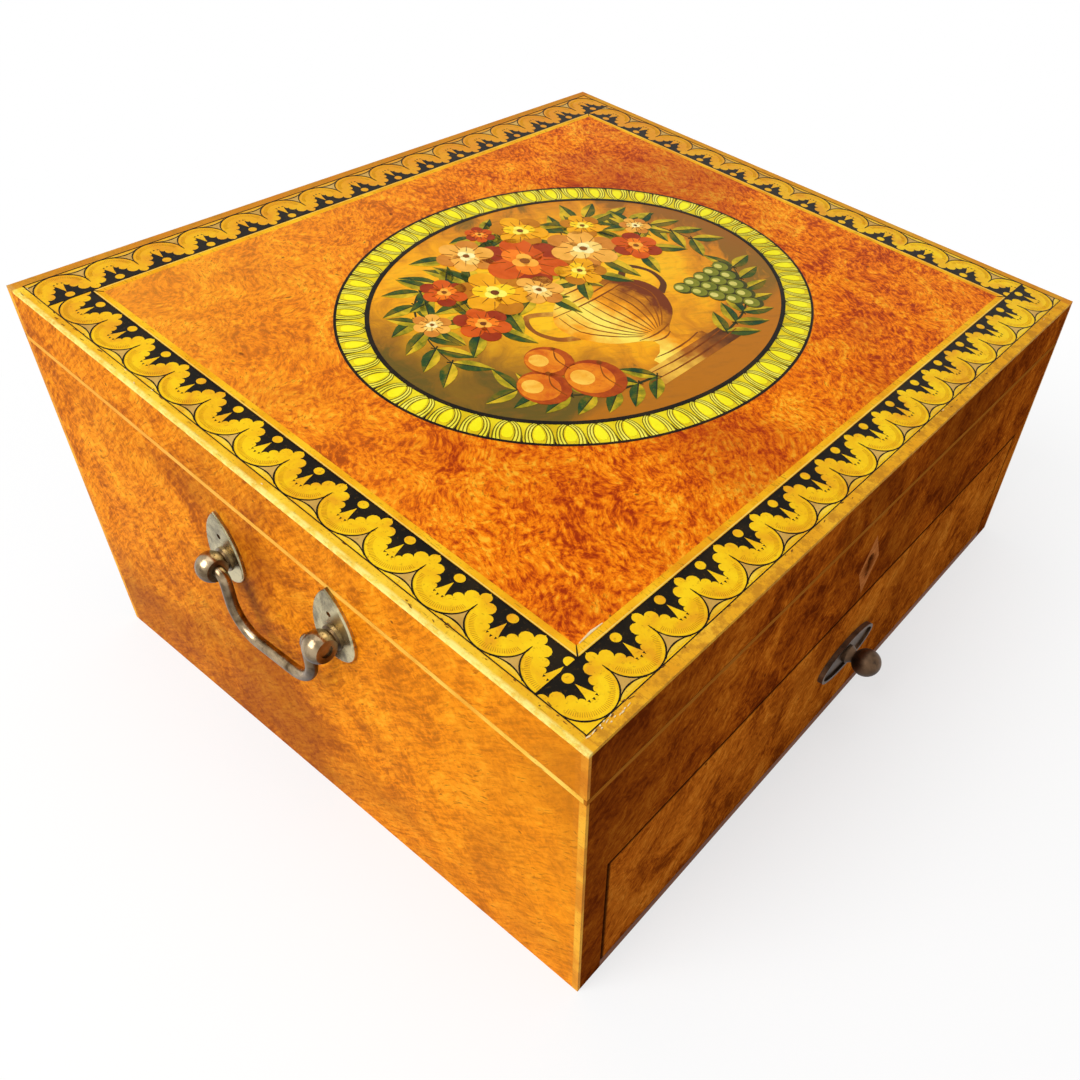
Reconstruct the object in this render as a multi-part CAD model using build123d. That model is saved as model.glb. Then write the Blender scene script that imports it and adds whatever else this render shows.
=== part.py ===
from build123d import *
import math
import os

# A writing box with a sloping lid, a drawer in the front and a bail handle on each side.
# The origin is the centre of the underside. +X runs along the front to the right, the front
# faces -Y, and +Z is up. All sizes are in millimetres.

# Outer form
width = 320.0
depth = 266.0
front_height = 119.0
back_height = 160.0
lid_height = 18.0
seam = 0.3

# Boards and veneers
veneer = 1.2
wall_board = 10.0
lid_board_thickness = 8.0
bottom_thickness = 4.0
bottom_rebate = 5.0
ceiling_thickness = 6.0
housing_depth = 4.0
drawer_opening_top = 60.0
paper_thickness = 0.4

# Boxwood lines and the bands of the lid
edging_width = 4.0
corner_line_width = 4.0
rim_line_height = 1.8
border_width = 16.5
stringing_width = 3.0
medallion_length = 207.0
medallion_depth = 163.0
medallion_ring_width = 12.0

# Compartments under the lid
paper_space = 204.0
well_partition_thickness = 4.0
well_partition_height = 45.0
well_division_thickness = 3.0
well_division_height = 40.0
end_well_width = 44.0

# Drawer
drawer_side_gap = 0.8
drawer_top_gap = 0.6
drawer_bottom_gap = 0.3
drawer_back_gap = 0.3
drawer_front_thickness = 9.0
drawer_side_thickness = 6.0
drawer_side_height = 48.0
drawer_bottom_thickness = 3.0
drawer_bottom_lift = 4.0
drawer_groove = 3.0
drawer_divider_thickness = 4.0
drawer_divider_height = 34.0
pen_space = 62.0
pen_tray_length = 190.0
dovetail_count = 3
dovetail_flare = 1.6
dovetail_lap = 2.5
half_pin = 3.5
pin_width = 4.0

# Drawer pull
pull_height = 33.0
pull_plate_length = 40.0
pull_plate_width = 14.0
pull_plate_thickness = 2.0
pull_dish_depth = 1.0
pull_rim = 1.4
pull_knob_diameter = 11.0
pull_stem_diameter = 5.0
pull_collar_diameter = 7.5
pull_collar_height = 1.5
pull_reach = 15.0
pull_shank_diameter = 4.0
nut_size = 8.0
nut_corner_diameter = 10.2
nut_thickness = 2.5

# Side handles
handle_centre_y = -6.5
handle_height = 96.0
handle_span = 57.0
plate_width = 19.0
plate_length = 29.0
plate_thickness = 1.5
plate_shoulder_width = 14.2
plate_shoulder_height = 10.7
plate_edge_radius = 0.6
plate_nail_hole = 2.0
plate_nail_height = 9.5
ball_diameter = 11.0
ball_reach = 6.8
ball_flat = 3.7
ball_collar_diameter = 9.0
ball_collar_height = 0.6
ball_neck_diameter = 7.0
post_shank_diameter = 4.0
bail_wire_diameter = 4.2
bail_drop = 23.0
bail_leg_inset = 7.0
bail_corner_radius = 12.0
bail_ear_radius = 3.0
bail_pin_length = 3.0

# Hinges
hinge_length = 40.0
hinge_inset = 52.0
leaf_width = 9.0
leaf_thickness = 1.2
barrel_diameter = 4.2
barrel_gap = 0.3
hinge_pin_diameter = 2.0
knuckle_count = 5
knuckle_gap = 0.15
screws_per_leaf = 3

# Screws
screw_head_diameter = 4.4
screw_diameter = 2.2
screw_length = 6.0
screw_slot_width = 0.6
screw_slot_depth = 0.5

# Lock, striker and escutcheon
lock_plate_width = 52.0
lock_plate_thickness = 1.2
lock_body_width = 36.0
lock_body_depth = 6.0
lock_wall = 1.0
lock_foot = 1.4
lock_screw_inset = 6.6
bolt_thickness = 3.0
bolt_prong = 3.0
bolt_ease = 0.3
bolt_upright = 2.5
bolt_talon = 6.0
bolt_gap = 0.6
key_reach = 6.0
striker_width = 44.0
striker_depth = 7.0
striker_thickness = 1.2
loop_spacing = 18.0
loop_thickness = 1.8
loop_width = 3.2
loop_drop = 7.0
loop_eye = 2.2
loop_eye_lift = 1.4
loop_clearance = 0.6
keyhole_drop = 23.1
keyhole_diameter = 4.4
keyhole_slot_width = 2.4
keyhole_slot_length = 8.5
keyhole_ease = 0.8
escutcheon_drop = 3.0
escutcheon_width = 15.0
escutcheon_length = 27.0

# Fits, and how far a cut runs past a face
running_clearance = 0.05
press_clearance = 0.02
past = 1.0

# Places worked out from the sizes above
half_width = width / 2
half_depth = depth / 2
slope = (back_height - front_height) / depth
slope_angle = math.degrees(math.atan(slope))
lid_bottom = lid_height - seam / 2
base_top = lid_height + seam / 2
board_half_width = half_width - veneer
board_half_depth = half_depth - veneer
inner_half_width = board_half_width - wall_board
inner_half_depth = board_half_depth - wall_board
lid_board_bottom = veneer + lid_board_thickness
floor_height = drawer_opening_top + ceiling_thickness
front_inner_y = -inner_half_depth
leaf_face = seam / 2 * math.cos(math.radians(slope_angle))


def top_at(y):
    """Height of the sloping top surface above the underside, at a place y."""
    return front_height + slope * (y + half_depth)


def block(x0, x1, y0, y1, z0, z1):
    """A plain box between two corners."""
    middle = Pos((x0 + x1) / 2, (y0 + y1) / 2, (z0 + z1) / 2)
    return middle * Box(x1 - x0, y1 - y0, z1 - z0)


def side_outline(x0, x1, points):
    """A prism along X from an outline of (y, z) points."""
    outline = make_face(Plane.YZ * Polyline(*points, close=True))
    return Pos(x0, 0, 0) * extrude(outline, amount=x1 - x0, dir=(1, 0, 0))


def front_outline(y0, y1, points):
    """A prism along Y from an outline of (x, z) points."""
    outline = make_face(Plane.XZ * Polyline(*points, close=True))
    return Pos(0, y0, 0) * extrude(outline, amount=y1 - y0, dir=(0, 1, 0))


def sloping(x0, x1, y0, y1, down0, down1):
    """A layer that follows the slope, between two depths below the top surface."""
    points = [
        (y0, top_at(y0) - down0),
        (y1, top_at(y1) - down0),
        (y1, top_at(y1) - down1),
        (y0, top_at(y0) - down1),
    ]
    return side_outline(x0, x1, points)


def wall(x0, x1, y0, y1, z0, down):
    """An upright wall from the level z0 to a depth below the sloping top."""
    points = [(y0, z0), (y1, z0), (y1, top_at(y1) - down), (y0, top_at(y0) - down)]
    return side_outline(x0, x1, points)


def sloping_frame(outer, inner, down0, down1):
    """A sloping layer as a frame: outer and inner are its insets from the faces."""
    x0, y0 = half_width - outer, half_depth - outer
    x1, y1 = half_width - inner, half_depth - inner
    hole = block(-x1, x1, -y1, y1, 0, 2 * back_height)
    return sloping(-x0, x0, -y0, y0, down0, down1) - hole


def mirror_x(shape):
    return mirror(shape, about=Plane.YZ)


def group(shapes):
    """Separate solids that share one node."""
    return Compound(children=[piece for shape in shapes for piece in shape.solids()])


def turned(points):
    """A solid turned about Z from an outline of (radius, height) points."""
    return revolve(make_face(Plane.XZ * Polyline(*points, close=True)), axis=Axis.Z)


def on_seam(x, y, shape):
    """Turn a part from the flat into the slope and set it on the middle of the seam."""
    return Pos(x, y, top_at(y) - lid_height) * Rot(slope_angle, 0, 0) * shape


# Screws


def wood_screw(length):
    """A countersunk screw with its head's face at z = 0 and its point below."""
    head = screw_head_diameter / 2
    shank = screw_diameter / 2
    cone = head - shank
    points = [(0, 0), (head, 0), (shank, -cone), (shank, shank - length), (0, -length)]
    slot = block(-head, head, -screw_slot_width / 2, screw_slot_width / 2, -screw_slot_depth, past)
    return turned(points) - slot


def screw_hole(length):
    """The space that a wood screw takes."""
    head = screw_head_diameter / 2 + press_clearance
    shank = screw_diameter / 2 + press_clearance
    cone = head - shank
    deep = length + press_clearance
    points = [(0, past), (head, past), (head, 0), (shank, -cone), (shank, shank - deep), (0, -deep)]
    return turned(points)


def cut(shape, tools):
    for tool in tools:
        shape = shape - tool
    return shape


# Hinges: the pin lies in the middle of the seam, just behind the back face

barrel_radius = barrel_diameter / 2
wood_edge = -(barrel_radius + barrel_gap)
hinge_y = half_depth - wood_edge
hinge_x = half_width - hinge_inset


def hinge_screws(x, upper, make):
    """All screws, or all their holes, of one leaf. The upper leaf's point upward."""
    turn = Rot(180, 0, 0) if upper else Rot(0, 0, 0)
    face = leaf_face if upper else -leaf_face
    pitch = hinge_length / screws_per_leaf
    places = [-hinge_length / 2 + pitch * (n + 0.5) for n in range(screws_per_leaf)]
    middle = wood_edge - leaf_width / 2
    return [on_seam(x, hinge_y, Pos(sx, middle, face) * turn * make(screw_length)) for sx in places]


def flat_leaf(upper):
    """One hinge leaf in the flat. The upper leaf has the even knuckles."""
    low = leaf_face if upper else -leaf_face - leaf_thickness
    high = low + leaf_thickness
    end = hinge_length / 2
    pitch = hinge_length / knuckle_count
    leaf = block(-end, end, wood_edge - leaf_width, wood_edge, low, high)
    for n in range(knuckle_count):
        if (n % 2 == 1) == upper:
            x0 = max(-end, -end + n * pitch + knuckle_gap)
            x1 = min(end, -end + (n + 1) * pitch - knuckle_gap)
            knuckle = Pos((x0 + x1) / 2, 0, 0) * Rot(0, 90, 0) * Cylinder(barrel_radius, x1 - x0)
            leaf = leaf + knuckle + block(x0, x1, wood_edge, 0, low, high)
    bore_radius = hinge_pin_diameter / 2 + running_clearance
    return leaf - Rot(0, 90, 0) * Cylinder(bore_radius, 2 * hinge_length)


def hinge_leaf(x, upper):
    return cut(on_seam(x, hinge_y, flat_leaf(upper)), hinge_screws(x, upper, screw_hole))


def hinge_bed(x, upper):
    """The bed for one leaf, open to the back and to the seam."""
    deep = leaf_face + leaf_thickness
    low, high = (0, deep) if upper else (-deep, 0)
    end = hinge_length / 2
    return on_seam(x, hinge_y, block(-end, end, wood_edge - leaf_width, barrel_radius, low, high))


def hinge_cuts(upper):
    """All that both hinges take out of the lid or out of the base."""
    cuts = []
    for x in (-hinge_x, hinge_x):
        cuts += [hinge_bed(x, upper)] + hinge_screws(x, upper, screw_hole)
    return cuts


def hinge_pin(x):
    return on_seam(x, hinge_y, Rot(0, 90, 0) * Cylinder(hinge_pin_diameter / 2, hinge_length))


# Lock: a hollow body in the front board, its plate flush with the inner face

plate_y = front_inner_y - lock_plate_thickness
body_y = plate_y - lock_body_depth
loop_y = plate_y - lock_body_depth / 2
lock_top = top_at(front_inner_y) - base_top
keyhole_height = lock_top - keyhole_drop
lock_bottom = keyhole_height - keyhole_slot_length - lock_foot
loops_x = (-loop_spacing / 2, loop_spacing / 2)
loop_tip = loop_drop + seam


def keyhole(y0, y1, ease):
    """A keyhole along Y: a round head with a slot below it."""
    middle = (y0 + y1) / 2
    half_slot = keyhole_slot_width / 2 + ease
    foot = keyhole_height - keyhole_slot_length - ease
    turn = Pos(0, middle, keyhole_height) * Rot(90, 0, 0)
    head = turn * Cylinder(keyhole_diameter / 2 + ease, y1 - y0)
    return head + block(-half_slot, half_slot, y0, y1, foot, keyhole_height)


def lock_space():
    """The mortise for the body, the plate and the top plate of the lock."""
    plate_x = lock_plate_width / 2
    body_x = lock_body_width / 2
    body = wall(-body_x, body_x, body_y, plate_y, lock_bottom, base_top)
    plate = wall(-plate_x, plate_x, plate_y, front_inner_y, lock_bottom, base_top)
    top = sloping(-plate_x, plate_x, body_y, front_inner_y, base_top, base_top + lock_wall)
    return body + plate + top


def lock_screws(make):
    """The four screws at the corners of the lock plate, or their holes."""
    x = (lock_plate_width + lock_body_width) / 4
    heights = (lock_bottom + lock_screw_inset, lock_top - lock_screw_inset)
    turn = Rot(-90, 0, 0)
    return [Pos(sx, front_inner_y, z) * turn * make(screw_length) for sx in (-x, x) for z in heights]


def lock_case():
    body_x = lock_body_width / 2 - lock_wall
    floor = lock_bottom + lock_wall
    cavity = wall(-body_x, body_x, body_y + lock_wall, plate_y, floor, base_top + lock_wall)
    slot_x = loop_thickness / 2 + loop_clearance
    slot_y = loop_width / 2 + loop_clearance
    slot = block(-slot_x, slot_x, -slot_y, slot_y, -seam - lock_wall, seam)
    slots = [on_seam(x, loop_y, slot) for x in loops_x]
    key_way = keyhole(body_y - past, body_y + lock_wall + past, 0)
    return cut(lock_space(), [cavity, key_way] + slots + lock_screws(screw_hole))


def lock_bolt():
    """The bolt, drawn back: a bar with a talon for the key and a prong for each loop."""
    bar_top = top_at(loop_y) - lid_height - loop_tip - bolt_gap
    bar_bottom = keyhole_height + key_reach
    prong_top = loop_eye + loop_eye_lift - loop_tip
    upright_top = top_at(loop_y) - lid_height + prong_top
    tips = [x - loop_thickness / 2 - bolt_gap for x in loops_x]
    points = [(-bolt_talon / 2, bar_bottom), (tips[0] - bolt_prong - bolt_upright, bar_bottom)]
    for tip in tips:
        root = tip - bolt_prong
        points += [(root - bolt_upright, upright_top), (root, upright_top), (root, bar_top)]
        points += [(tip + loop_thickness + 2 * bolt_gap, bar_top)]
    points += [(loops_x[1] + bolt_upright, bar_bottom), (bolt_talon / 2, bar_bottom)]
    points += [(0, bar_bottom + bolt_talon / 2)]
    bolt = front_outline(plate_y - bolt_thickness, plate_y, points)
    half = (loop_eye - 2 * bolt_ease) / 2
    low, high = prong_top - loop_eye + bolt_ease, prong_top - bolt_ease
    for tip in tips:
        prong = block(tip - bolt_prong - bolt_upright, tip, -half, half, low, high)
        bolt = bolt + on_seam(0, loop_y, prong)
    return bolt


def striker_screws(make):
    face = on_seam(0, loop_y, Pos(0, 0, leaf_face) * Rot(180, 0, 0) * make(screw_length))
    reach = (striker_width / 2 + loop_spacing / 2) / 2
    return [Pos(x, 0, 0) * face for x in (-reach, reach)]


def striker_space():
    half = striker_depth / 2
    bed = block(-striker_width / 2, striker_width / 2, -half, half, 0, leaf_face + striker_thickness)
    return on_seam(0, loop_y, bed)


def striker():
    """The plate under the lid with two loops that drop into the lock."""
    half = striker_depth / 2
    x1 = striker_width / 2
    plate = block(-x1, x1, -half, half, leaf_face, leaf_face + striker_thickness)
    eye_z = -loop_tip + loop_eye_lift
    for x in loops_x:
        tx, ty = loop_thickness / 2, loop_width / 2
        plate = plate + block(x - tx, x + tx, -ty, ty, -loop_tip, leaf_face)
        plate = plate - block(x - 2 * tx, x + 2 * tx, -loop_eye / 2, loop_eye / 2,
                              eye_z, eye_z + loop_eye)
    return cut(on_seam(0, loop_y, plate), striker_screws(screw_hole))


def escutcheon_space():
    """The lozenge let into the front veneer round the keyhole."""
    half_x, half_z = escutcheon_width / 2, escutcheon_length / 2
    middle = keyhole_height - escutcheon_drop
    points = [(0, middle - half_z), (half_x, middle), (0, middle + half_z), (-half_x, middle)]
    return front_outline(-half_depth, -board_half_depth, points)


def escutcheon():
    return escutcheon_space() - keyhole(-half_depth - past, -board_half_depth + past, 0)


# Side handles: built on the right side and mirrored for the left

posts_y = (handle_centre_y - handle_span / 2, handle_centre_y + handle_span / 2)
wall_thickness = veneer + wall_board
bail_radius = bail_wire_diameter / 2


def on_side(y, z, shape):
    """Stand a part, made about +Z, on the right face at (y, z)."""
    return Pos(half_width, y, z) * Rot(0, 90, 0) * shape


def shank_hole(x0, x1, y, z, diameter):
    """A round hole along X."""
    return Pos((x0 + x1) / 2, y, z) * Rot(0, 90, 0) * Cylinder(diameter / 2, x1 - x0)


def post_hole(x0, x1, y):
    """The hole for a handle's shank along X, on the right side."""
    return shank_hole(x0, x1, y, handle_height, post_shank_diameter + 2 * press_clearance)


def plate_outline():
    """A plate with a rounded foot and sides that rise to a point."""
    foot = plate_width / 2
    point = plate_length - foot
    shoulder = plate_shoulder_width / 2
    right = ThreePointArc((foot, 0), (shoulder, plate_shoulder_height), (0, point))
    left = ThreePointArc((0, point), (-shoulder, plate_shoulder_height), (-foot, 0))
    bottom = ThreePointArc((-foot, 0), (0, -foot), (foot, 0))
    return make_face(Plane.YZ * (right + left + bottom))


def handle_plate(y):
    plate = extrude(plate_outline(), amount=plate_thickness, dir=(1, 0, 0))
    plate = fillet(plate.faces().sort_by(Axis.X)[-1].edges(), plate_edge_radius)
    plate = Pos(half_width, y, handle_height) * plate
    near, far = half_width - past, half_width + plate_thickness + past
    nail = shank_hole(near, far, y, handle_height + plate_nail_height, plate_nail_hole)
    return plate - nail - post_hole(near, far, y)


def handle_post(y):
    """A turned ball on a neck and collar, its shank reaching through the wall to a nut."""
    back = -wall_thickness - nut_thickness - past
    shank = post_shank_diameter / 2
    collar = ball_collar_diameter / 2
    neck = ball_neck_diameter / 2
    ball = ball_diameter / 2
    collar_top = plate_thickness + ball_collar_height
    ball_root = ball_reach - math.sqrt(ball**2 - neck**2)
    outline = Plane.XZ * (
        Polyline((0, back), (shank, back), (shank, plate_thickness), (collar, plate_thickness),
                 (collar, collar_top), (neck, collar_top), (neck, ball_root))
        + ThreePointArc((neck, ball_root), (ball, ball_reach), (0, ball_reach + ball))
        + Line((0, ball_reach + ball), (0, back))
    )
    post = revolve(make_face(outline), axis=Axis.Z)
    for side in (-1, 1):
        facing = block(-ball, ball, ball_flat, 2 * ball, collar_top, 2 * ball_reach)
        post = post - (facing if side > 0 else mirror(facing, about=Plane.XZ))
    bore_radius = bail_radius + running_clearance
    bore = Pos(0, 0, ball_reach) * Rot(90, 0, 0) * Cylinder(bore_radius, 2 * ball_diameter)
    return on_side(y, handle_height, post - bore)


def square_nut(thickness, hole_diameter):
    """A square nut with softened corners, standing on z = 0."""
    nut = Pos(0, 0, thickness / 2) * Box(nut_size, nut_size, thickness)
    round_off = Pos(0, 0, thickness / 2) * Cylinder(nut_corner_diameter / 2, thickness)
    return (nut & round_off) - Cylinder(hole_diameter / 2, 4 * thickness)


def handle_nut(y):
    nut = square_nut(nut_thickness, post_shank_diameter + 2 * press_clearance)
    return on_side(y, handle_height, Pos(0, 0, -wall_thickness - nut_thickness) * nut)


def bail():
    """A round wire bail: two ears in the balls, two short legs and a straight grip."""
    x = half_width + ball_reach
    leg = handle_span / 2 - bail_leg_inset
    ear = handle_span / 2 + bail_pin_length
    low = handle_height - bail_drop
    points = [
        (x, handle_centre_y + ear, handle_height),
        (x, handle_centre_y + leg, handle_height),
        (x, handle_centre_y + leg, low),
        (x, handle_centre_y - leg, low),
        (x, handle_centre_y - leg, handle_height),
        (x, handle_centre_y - ear, handle_height),
    ]
    radii = [bail_ear_radius, bail_corner_radius, bail_corner_radius, bail_ear_radius]
    path = FilletPolyline(*points, radius=radii)
    section = Plane(origin=points[0], z_dir=(0, -1, 0)) * Circle(bail_radius)
    return sweep(section, path=path)


# Drawer

drawer_x = inner_half_width - drawer_side_gap
drawer_z0 = bottom_thickness + drawer_bottom_gap
drawer_z1 = drawer_opening_top - drawer_top_gap
drawer_y0 = -board_half_depth
drawer_front_y1 = drawer_y0 + drawer_front_thickness
drawer_y1 = inner_half_depth - drawer_back_gap
drawer_back_y0 = drawer_y1 - drawer_side_thickness
drawer_inner_x = drawer_x - drawer_side_thickness
drawer_side_top = drawer_z0 + drawer_side_height
drawer_floor0 = drawer_z0 + drawer_bottom_lift
drawer_floor1 = drawer_floor0 + drawer_bottom_thickness


def tails(root_y, tip_y, z0, z1):
    """The row of dovetails at one end of a drawer side, on the right-hand side."""
    room = z1 - z0 - 2 * half_pin - (dovetail_count - 1) * pin_width
    tail = room / dovetail_count
    row = []
    for n in range(dovetail_count):
        low = z0 + half_pin + n * (tail + pin_width)
        points = [
            (root_y, low + dovetail_flare),
            (tip_y, low),
            (tip_y, low + tail),
            (root_y, low + tail - dovetail_flare),
        ]
        row.append(side_outline(drawer_inner_x, drawer_x, points))
    return row


def front_tails():
    return tails(drawer_front_y1, drawer_y0 + dovetail_lap, drawer_floor1, drawer_side_top)


def back_tails():
    return tails(drawer_back_y0, drawer_y1, drawer_floor1, drawer_side_top)


def drawer_floor_space():
    """The bottom board, which stands in grooves and runs under the back."""
    x = drawer_inner_x + drawer_groove
    y0 = drawer_front_y1 - drawer_groove
    return block(-x, x, y0, drawer_y1, drawer_floor0, drawer_floor1)


def drawer_side():
    side = block(drawer_inner_x, drawer_x, drawer_front_y1, drawer_back_y0, drawer_z0, drawer_side_top)
    foot = block(drawer_inner_x, drawer_x, drawer_back_y0, drawer_y1, drawer_z0, drawer_floor1)
    side = side + foot
    for tail in front_tails() + back_tails():
        side = side + tail
    return side - drawer_floor_space()


def pull_hole(y0, y1):
    turn = Pos(0, (y0 + y1) / 2, pull_height) * Rot(90, 0, 0)
    return turn * Cylinder(pull_shank_diameter / 2 + press_clearance, y1 - y0)


def drawer_front():
    front = block(-drawer_x, drawer_x, drawer_y0, drawer_front_y1, drawer_z0, drawer_z1)
    right = front_tails()
    left = [mirror_x(tail) for tail in right]
    groove = drawer_floor_space()
    shank = pull_hole(drawer_y0 - past, drawer_front_y1 + past)
    return cut(front, right + left + [groove, shank])


def drawer_veneer():
    sheet = block(-drawer_x, drawer_x, -half_depth, drawer_y0, drawer_z0, drawer_z1)
    return sheet - pull_hole(-half_depth - past, drawer_y0 + past)


def drawer_back():
    back = block(-drawer_x, drawer_x, drawer_back_y0, drawer_y1, drawer_floor1, drawer_side_top)
    right = back_tails()
    left = [mirror_x(tail) for tail in right]
    return cut(back, right + left)


def on_drawer(shape):
    """Stand a part, made about +Z, on the drawer's face at the pull's place."""
    return Pos(0, -half_depth, pull_height) * Rot(90, 0, 0) * shape


def pull_plate():
    """An oval plate with a raised rim round a dished middle."""
    a, b = pull_plate_length / 2, pull_plate_width / 2
    plate = extrude(Ellipse(a, b), amount=pull_plate_thickness)
    dish = extrude(Ellipse(a - pull_rim, b - pull_rim), amount=pull_plate_thickness)
    dish = Pos(0, 0, pull_plate_thickness - pull_dish_depth) * dish
    hole = Cylinder(pull_shank_diameter / 2 + press_clearance, 4 * pull_plate_thickness)
    return on_drawer(plate - dish - hole)


def pull_knob():
    """A turned knob: collar, waist and ball, with a shank for the nut."""
    seat = pull_plate_thickness - pull_dish_depth
    collar = pull_collar_diameter / 2
    waist = pull_stem_diameter / 2
    ball = pull_knob_diameter / 2
    shank = pull_shank_diameter / 2
    back = -(veneer + drawer_front_thickness + nut_thickness + past)
    centre = pull_reach - ball
    ball_root = centre - math.sqrt(ball**2 - waist**2)
    outline = Plane.XZ * (
        Polyline((0, back), (shank, back), (shank, seat), (collar, seat),
                 (collar, seat + pull_collar_height), (waist, ball_root))
        + ThreePointArc((waist, ball_root), (ball, centre), (0, pull_reach))
        + Line((0, pull_reach), (0, back))
    )
    return on_drawer(revolve(make_face(outline), axis=Axis.Z))


def pull_nut():
    nut = square_nut(nut_thickness, pull_shank_diameter + 2 * press_clearance)
    reach = veneer + drawer_front_thickness + nut_thickness
    return on_drawer(Pos(0, 0, -reach) * nut)


# Base


def base_side():
    """The right side board: rebated for the bottom, housed for the drawer's ceiling."""
    x0, x1 = inner_half_width, board_half_width
    side = wall(x0, x1, -board_half_depth, board_half_depth, 0, base_top)
    rebate_y1 = inner_half_depth + bottom_rebate
    rebate = block(x0 - past, x0 + bottom_rebate, -half_depth, rebate_y1, -past, bottom_thickness)
    holes = [post_hole(x0 - past, x1 + past, y) for y in posts_y]
    return cut(side, [rebate, ceiling_space()] + holes)


def ceiling_space():
    """The board between the drawer and the compartments, in its housings."""
    x = inner_half_width + housing_depth
    y1 = inner_half_depth + housing_depth
    return block(-x, x, front_inner_y, y1, drawer_opening_top, floor_height)


def base_back():
    y0, y1 = inner_half_depth, board_half_depth
    back = wall(-inner_half_width, inner_half_width, y0, y1, 0, base_top)
    rebate = block(-width, width, y0 - past, y0 + bottom_rebate, -past, bottom_thickness)
    return cut(back, [rebate, ceiling_space()] + hinge_cuts(upper=False))


def base_front():
    y0, y1 = -board_half_depth, front_inner_y
    front = wall(-inner_half_width, inner_half_width, y0, y1, drawer_opening_top, base_top)
    key_way = keyhole(y0 - past, y1, keyhole_ease)
    return cut(front, [lock_space(), key_way] + lock_screws(screw_hole))


def bottom_board():
    x = inner_half_width + bottom_rebate
    y1 = inner_half_depth + bottom_rebate
    front_x = inner_half_width
    board = block(-x, x, -board_half_depth, y1, 0, bottom_thickness)
    lip = block(-front_x, front_x, -half_depth, -board_half_depth, 0, bottom_thickness)
    return board + lip


def base_side_veneer():
    """The veneer of the right side between the corner lines."""
    y = half_depth - corner_line_width
    sheet = wall(board_half_width, half_width, -y, y, 0, base_top + rim_line_height)
    return cut(sheet, [post_hole(board_half_width - past, half_width + past, y) for y in posts_y])


def corner_lines(make):
    """Four corner strips, one at each end of each side face."""
    y0, y1 = half_depth - corner_line_width, half_depth
    strips = [make(y0, y1), make(-y1, -y0)]
    return strips + [mirror_x(strip) for strip in strips]


def base_corner(y0, y1):
    return wall(board_half_width, half_width, y0, y1, 0, base_top + rim_line_height)


def lid_corner(y0, y1):
    return sloping(board_half_width, half_width, y0, y1, veneer, lid_bottom)


def base_front_veneer():
    """The front sheet, cut out for the drawer and the escutcheon."""
    x = board_half_width
    y0, y1 = -half_depth, -board_half_depth
    sheet = wall(-x, x, y0, y1, 0, base_top + rim_line_height)
    mouth = block(-inner_half_width, inner_half_width, y0 - past, y1 + past, -past, drawer_opening_top)
    return cut(sheet, [mouth, escutcheon_space()])


def base_back_veneer():
    x = board_half_width
    sheet = wall(-x, x, board_half_depth, half_depth, 0, base_top + rim_line_height)
    return cut(sheet, hinge_cuts(upper=False))


def base_rim_line():
    """The boxwood line round the base just under the seam."""
    line = sloping_frame(0, veneer, base_top, base_top + rim_line_height)
    return cut(line, hinge_cuts(upper=False))


partition_y = front_inner_y + paper_space


def well_partition():
    top = floor_height + well_partition_height
    y1 = partition_y + well_partition_thickness
    return block(-inner_half_width, inner_half_width, partition_y, y1, floor_height, top)


def well_divisions():
    x = inner_half_width - end_well_width
    top = floor_height + well_division_height
    y0 = partition_y + well_partition_thickness
    right = block(x - well_division_thickness, x, y0, inner_half_depth, floor_height, top)
    return [right, mirror_x(right)]


# Lid


def lid_board():
    x, y = board_half_width, board_half_depth
    return sloping(-x, x, -y, y, veneer, lid_board_bottom)


def lid_side_rim():
    y = board_half_depth
    return sloping(inner_half_width, board_half_width, -y, y, lid_board_bottom, lid_bottom)


def lid_side_veneer():
    """The lid's veneer on the right side, between the corner lines."""
    y = half_depth - corner_line_width
    return sloping(board_half_width, half_width, -y, y, veneer, lid_bottom)


def lid_cross_rim(y0, y1, cuts):
    x = inner_half_width
    return cut(sloping(-x, x, y0, y1, lid_board_bottom, lid_bottom), cuts)


def lid_cross_veneer(y0, y1, cuts):
    x = board_half_width
    return cut(sloping(-x, x, y0, y1, veneer, lid_bottom), cuts)


def oval(length, across):
    """An upright oval column that cuts the bands of the lid."""
    return extrude(Ellipse(length / 2, across / 2), amount=2 * back_height)


def medallion_hole():
    ring = 2 * medallion_ring_width
    return oval(medallion_length - ring, medallion_depth - ring)


border_inset = edging_width
stringing_inset = border_inset + border_width
panel_inset = stringing_inset + stringing_width


def lid_face(inset):
    """The veneer layer of the top, inside an inset from the faces."""
    x, y = half_width - inset, half_depth - inset
    return sloping(-x, x, -y, y, 0, veneer)


def border_strips():
    """The four strips of the border. The front and back ones run the whole width."""
    x0, x1 = half_width - stringing_inset, half_width - border_inset
    y0, y1 = half_depth - stringing_inset, half_depth - border_inset
    front = sloping(-x1, x1, -y1, -y0, 0, veneer)
    back = sloping(-x1, x1, y0, y1, 0, veneer)
    right = sloping(x0, x1, -y0, y0, 0, veneer)
    return [front, back, right, mirror_x(right)]


def lid_lining():
    x, y = inner_half_width, inner_half_depth
    return sloping(-x, x, -y, y, lid_board_bottom, lid_board_bottom + paper_thickness)


def floor_lining():
    x = inner_half_width
    return block(-x, x, front_inner_y, partition_y, floor_height, floor_height + paper_thickness)


def drawer_dividers():
    """Two short dividers that part the pen tray from the squares at its ends."""
    x = pen_tray_length / 2
    y1 = drawer_front_y1 + pen_space
    top = drawer_floor1 + drawer_divider_height
    right = block(x, x + drawer_divider_thickness, drawer_front_y1, y1, drawer_floor1, top)
    return [right, mirror_x(right)]


def drawer_long_divider():
    y0 = drawer_front_y1 + pen_space
    top = drawer_floor1 + drawer_divider_height
    x = drawer_inner_x
    return block(-x, x, y0, y0 + drawer_divider_thickness, drawer_floor1, top)


# Every node of the box, by name

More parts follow.
